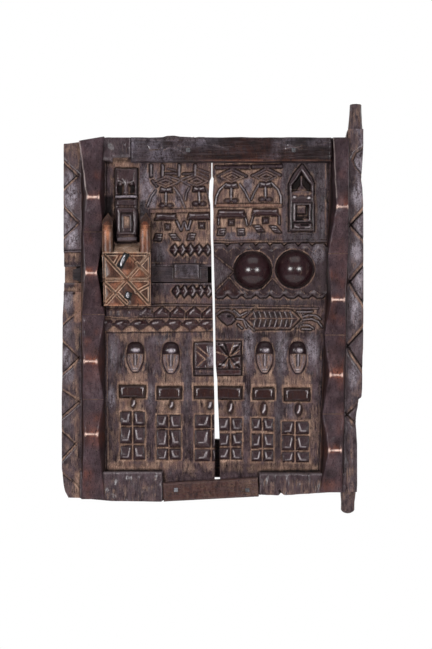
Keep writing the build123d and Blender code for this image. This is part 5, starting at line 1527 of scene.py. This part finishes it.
def wood(name, dark, light, form, red, worn_and_highlight, copper, mud_dark, mud_light, pale, along="z", depth=0.0004):
    """Old handled wood: dark patina, mud in the hollows, polish on the forms, bare wood and painted
    highlights on the edges, and painted shade in the creases.
    """
    m = Nodes(bpy.data.materials.new(name))
    grain = m.noise(380, (1, 1, 0.12) if along == "z" else (0.12, 1, 1), 3, 0.65)
    blot = m.noise(62, (1, 1, 0.6), 5, 0.72)
    speck = m.noise(520, (1, 1, 0.6), 3, 0.6)
    patch = m.noise(130, (1, 1, 0.45), 5, 0.65)
    shine, dust, painted_shade, pale_and_highlight = (m.attribute(tone) for tone in ("shine", "mud", "dark", "pale"))
    base = m.mix(m.range(m.add(blot, m.times(grain, 0.5)), 0.60, 0.92), colour(*dark), colour(*light))
    base = m.mix(m.times(shine, 0.85), base, colour(*form))
    base = m.mix(m.times(m.attribute("red"), m.range(patch, 0.28, 0.60), clamp=True), base, colour(*red))
    base = m.mix(m.times(pale_and_highlight, m.range(m.add(patch, speck), 0.84, 1.14), clamp=True), base, colour(*pale))
    # Worn edges and painted highlights both take the worn colour.
    base = m.mix(m.times(m.attribute("wear"), m.range(patch, 0.22, 0.44), clamp=True), base, colour(*worn_and_highlight))
    base = m.mix(m.times(m.attribute("copper"), m.range(patch, 0.22, 0.5), clamp=True), base, colour(*copper))
    mud = m.add(dust, m.range(patch, 0.25, 0.75, -0.35, 0.35))
    mud = m.range(m.add(mud, m.range(grain, 0.3, 0.7, -0.25, 0.25)), 0.15, 1.05)
    soil = m.mix(m.range(m.add(speck, grain), 0.84, 1.16), colour(*mud_dark), colour(*mud_light))
    base = m.mix(mud, base, m.mix(m.range(blot, 0.40, 0.62), soil, colour(*mud_dark)))
    pores = m.range(m.add(grain, speck), 1.04, 1.22, 0.0, 0.75)
    base = m.mix(pores, base, colour(*[c * 0.45 for c in dark]))
    # Painted shade: the dark tone takes creases and hollows nearly to black.
    base = m.mix(m.times(painted_shade, 0.95), base, colour(8, 5, 5))

    rough = m.add(m.range(shine, 0, 1, 0.55, 0.30), m.range(mud, 0, 1, 0, 0.35))
    rough = m.add(rough, m.range(patch, 0.3, 0.7, -0.06, 0.10), clamp=True)
    coat = m.math("SUBTRACT", m.range(shine, 0, 1, 0.10, 1.0), m.range(mud, 0, 1, 0, 0.8), clamp=True)
    coat = m.times(coat, m.math("SUBTRACT", 1.0, painted_shade, clamp=True))
    m.shade(Base_Color=base, Roughness=rough, Coat_Weight=coat)
    m.shader.inputs["Specular IOR Level"].default_value = 0.08
    m.shader.inputs["Coat Roughness"].default_value = 0.2
    bumps = m.add(m.times(grain, 0.8), m.times(patch, 0.6))
    bumps = m.add(bumps, m.times(speck, m.range(pale_and_highlight, 0, 1, 0.25, 1.0)))
    m.bump(m.times(bumps, m.range(shine, 0.2, 0.9, 1.0, 0.08)), depth)
    return m.owner


def iron(name, dark, light, rust, worn_and_highlight):
    m = Nodes(bpy.data.materials.new(name))
    patch = m.noise(420, (1, 1, 1), 5, 0.65)
    base = m.mix(m.range(patch, 0.35, 0.65), colour(*dark), colour(*light))
    base = m.mix(m.range(m.noise(230), 0.52, 0.66), base, colour(*rust))
    # The pale tone mixes in a painted highlight colour; the dark tone darkens the iron nearly to black.
    base = m.mix(m.times(m.attribute("pale"), m.range(patch, 0.3, 0.5), clamp=True), base, colour(*worn_and_highlight))
    base = m.mix(m.attribute("dark"), base, colour(14, 12, 12))
    m.shade(Base_Color=base, Roughness=m.range(patch, 0.3, 0.7, 0.28, 0.55))
    m.shader.inputs["Metallic"].default_value = 0.6
    m.bump(patch, 0.0004)
    return m.owner


carved_wood = wood(
    "carved_wood", dark=(38, 26, 29), light=(93, 76, 81), form=(46, 24, 29), red=(54, 21, 17),
    worn_and_highlight=(232, 220, 224), copper=(200, 148, 120), mud_dark=(126, 97, 84), mud_light=(218, 182, 160),
    pale=(170, 160, 170))
ridge_wood = wood(
    "ridge_wood", dark=(48, 34, 38), light=(90, 70, 75), form=(56, 40, 45), red=(134, 76, 56),
    worn_and_highlight=(225, 205, 200), copper=(240, 204, 190), mud_dark=(94, 72, 64), mud_light=(156, 126, 112),
    pale=(112, 98, 106))
rail_wood = wood(
    "rail_wood", dark=(26, 18, 20), light=(60, 52, 58), form=(30, 21, 24), red=(58, 28, 22),
    worn_and_highlight=(104, 92, 94), copper=(150, 92, 66), mud_dark=(74, 54, 46), mud_light=(140, 114, 98),
    pale=(118, 110, 122), along="x", depth=0.00012)
lock_wood = wood(
    "lock_wood", dark=(40, 23, 18), light=(104, 70, 57), form=(56, 32, 26), red=(116, 64, 46),
    worn_and_highlight=(180, 140, 116), copper=(184, 122, 92), mud_dark=(172, 138, 116), mud_light=(230, 204, 184),
    pale=(104, 96, 98))
bolt_wood = wood(
    "bolt_wood", dark=(34, 27, 30), light=(66, 54, 59), form=(36, 28, 31), red=(70, 44, 38),
    worn_and_highlight=(112, 96, 96), copper=(130, 96, 80), mud_dark=(74, 56, 48), mud_light=(124, 102, 90),
    pale=(118, 110, 122), along="x")
old_iron = iron("old_iron", dark=(44, 42, 46), light=(120, 118, 126), rust=(82, 60, 48), worn_and_highlight=(222, 222, 228))

for piece, node, slot, materials, body in (
    (left_plank, "left_plank", "carved_wood", (carved_wood, ridge_wood), "door"),
    (right_plank, "right_plank", "carved_wood", (carved_wood, ridge_wood), "door"),
    (top_rail, "top_rail", "rail_wood", (rail_wood,), "door"),
    (bottom_rail, "bottom_rail", "rail_wood", (rail_wood,), "door"),
    (batten, "back_batten", "rail_wood", (rail_wood,), "door"),
    (case, "lock_case", "lock_wood", (lock_wood,), "door"),
    (bolt, "lock_bolt", "lock_wood", (bolt_wood,), "bolt"),
    *((piece, node, "forged_iron", (old_iron,), "door") for node, piece in irons.items()),
):
    for material in materials:
        piece.data.materials.append(material)
    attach(piece, body)
    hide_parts(node)
for number in (1, 2, 3):
    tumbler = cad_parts[f"tumbler_{number}"]
    tumbler.data.materials.clear()
    tumbler.data.materials.append(old_iron)

# ---- floor, light and camera -------------------------------------------------------------------
middle = Vector((-0.2644, -0.01, 0.363))  # what the camera and the lamps look at
camera_distance, lens, sensor_height = 3.0, 83.2, 36
floor_radius, floor_z, floor_points = 1.5, -0.62, 96
floor_glow, room_glow = 0.6, 0.09

floor_mesh = bpy.data.meshes.new("floor")
turns = [2 * pi * k / floor_points for k in range(floor_points)]
rim = [(middle.x + floor_radius * cos(turn), middle.y + floor_radius * sin(turn), floor_z) for turn in turns]
floor_mesh.from_pydata(rim, [], [list(range(floor_points))])
floor = add_object("floor", floor_mesh)
paper = Nodes(bpy.data.materials.new("floor_paper"))
seen = paper.node("LightPath").outputs["Is Camera Ray"]
paper.shade(
    Base_Color=paper.mix(paper.noise(3, detail=2), colour(236, 236, 236), colour(242, 242, 242)),
    Emission_Strength=paper.times(seen, floor_glow))
paper.shader.inputs["Roughness"].default_value = 0.9
paper.shader.inputs["Emission Color"].default_value = (1, 1, 1, 1)
floor_mesh.materials.append(paper.owner)


def softbox(name, turn, lift, distance, width, height, power):
    """An area light aimed at the door, from a turn to the right of the camera and a lift above it."""
    light = bpy.data.lights.new(name, "AREA")
    light.shape = "RECTANGLE"
    light.size, light.size_y = width, height
    light.energy = power
    turn, lift = radians(turn), radians(lift)
    direction = Vector((sin(turn) * cos(lift), -cos(turn) * cos(lift), sin(lift)))
    lamp = add_object(name, light)
    lamp.location = middle + direction * distance
    lamp.rotation_euler = direction.to_track_quat("Z", "Y").to_euler()


softbox("left_softbox", -27, 3, 2.6, 0.8, 0.6, 33)
softbox("right_softbox", 27, 3, 2.6, 0.8, 0.6, 29)
softbox("top_softbox", 4, 62, 2.4, 2.2, 1.6, 12)
softbox("back_softbox", 180, 35, 2.8, 1.4, 1.0, 30)
softbox("left_side_softbox", -108, 12, 2.8, 1.2, 0.9, 16)
softbox("right_side_softbox", 108, 12, 2.8, 1.2, 0.9, 16)

# The background is white to the camera, and to gloss where it lies behind the door; the room in front is dim.
world = bpy.data.worlds.new("studio")
bpy.context.scene.world = world
sky = Nodes(world)
room = sky.tree.nodes["Background"]
sky.place((1, 1, 1, 1), room.inputs["Color"])
sky.place(room_glow, room.inputs["Strength"])
white = sky.node("Background", {"Color": (1, 1, 1, 1)})
path = sky.node("LightPath").outputs
split = sky.node("SeparateXYZ", {0: sky.node("TexCoord").outputs["Generated"]})
behind = sky.times(split.outputs["Y"], 3.0, clamp=True)
mirrored = sky.math("MAXIMUM", path["Is Glossy Ray"], path["Is Transmission Ray"], clamp=True)
shown = sky.math("MAXIMUM", path["Is Camera Ray"], sky.times(mirrored, behind, clamp=True), clamp=True)
both = sky.node("MixShader", {0: shown, 1: room.outputs["Background"], 2: white.outputs["Background"]})
sky.place(both.outputs["Shader"], sky.tree.nodes["World Output"].inputs["Surface"])

camera = bpy.data.cameras.new("camera")
camera.sensor_fit = "VERTICAL"
camera.sensor_height = sensor_height
camera.lens = lens
eye = add_object("camera", camera)
eye.location = (middle.x, middle.y - camera_distance, middle.z)
eye.rotation_euler = (radians(90), 0, 0)
bpy.context.scene.camera = eye
bpy.context.scene.view_settings.view_transform = "Standard"
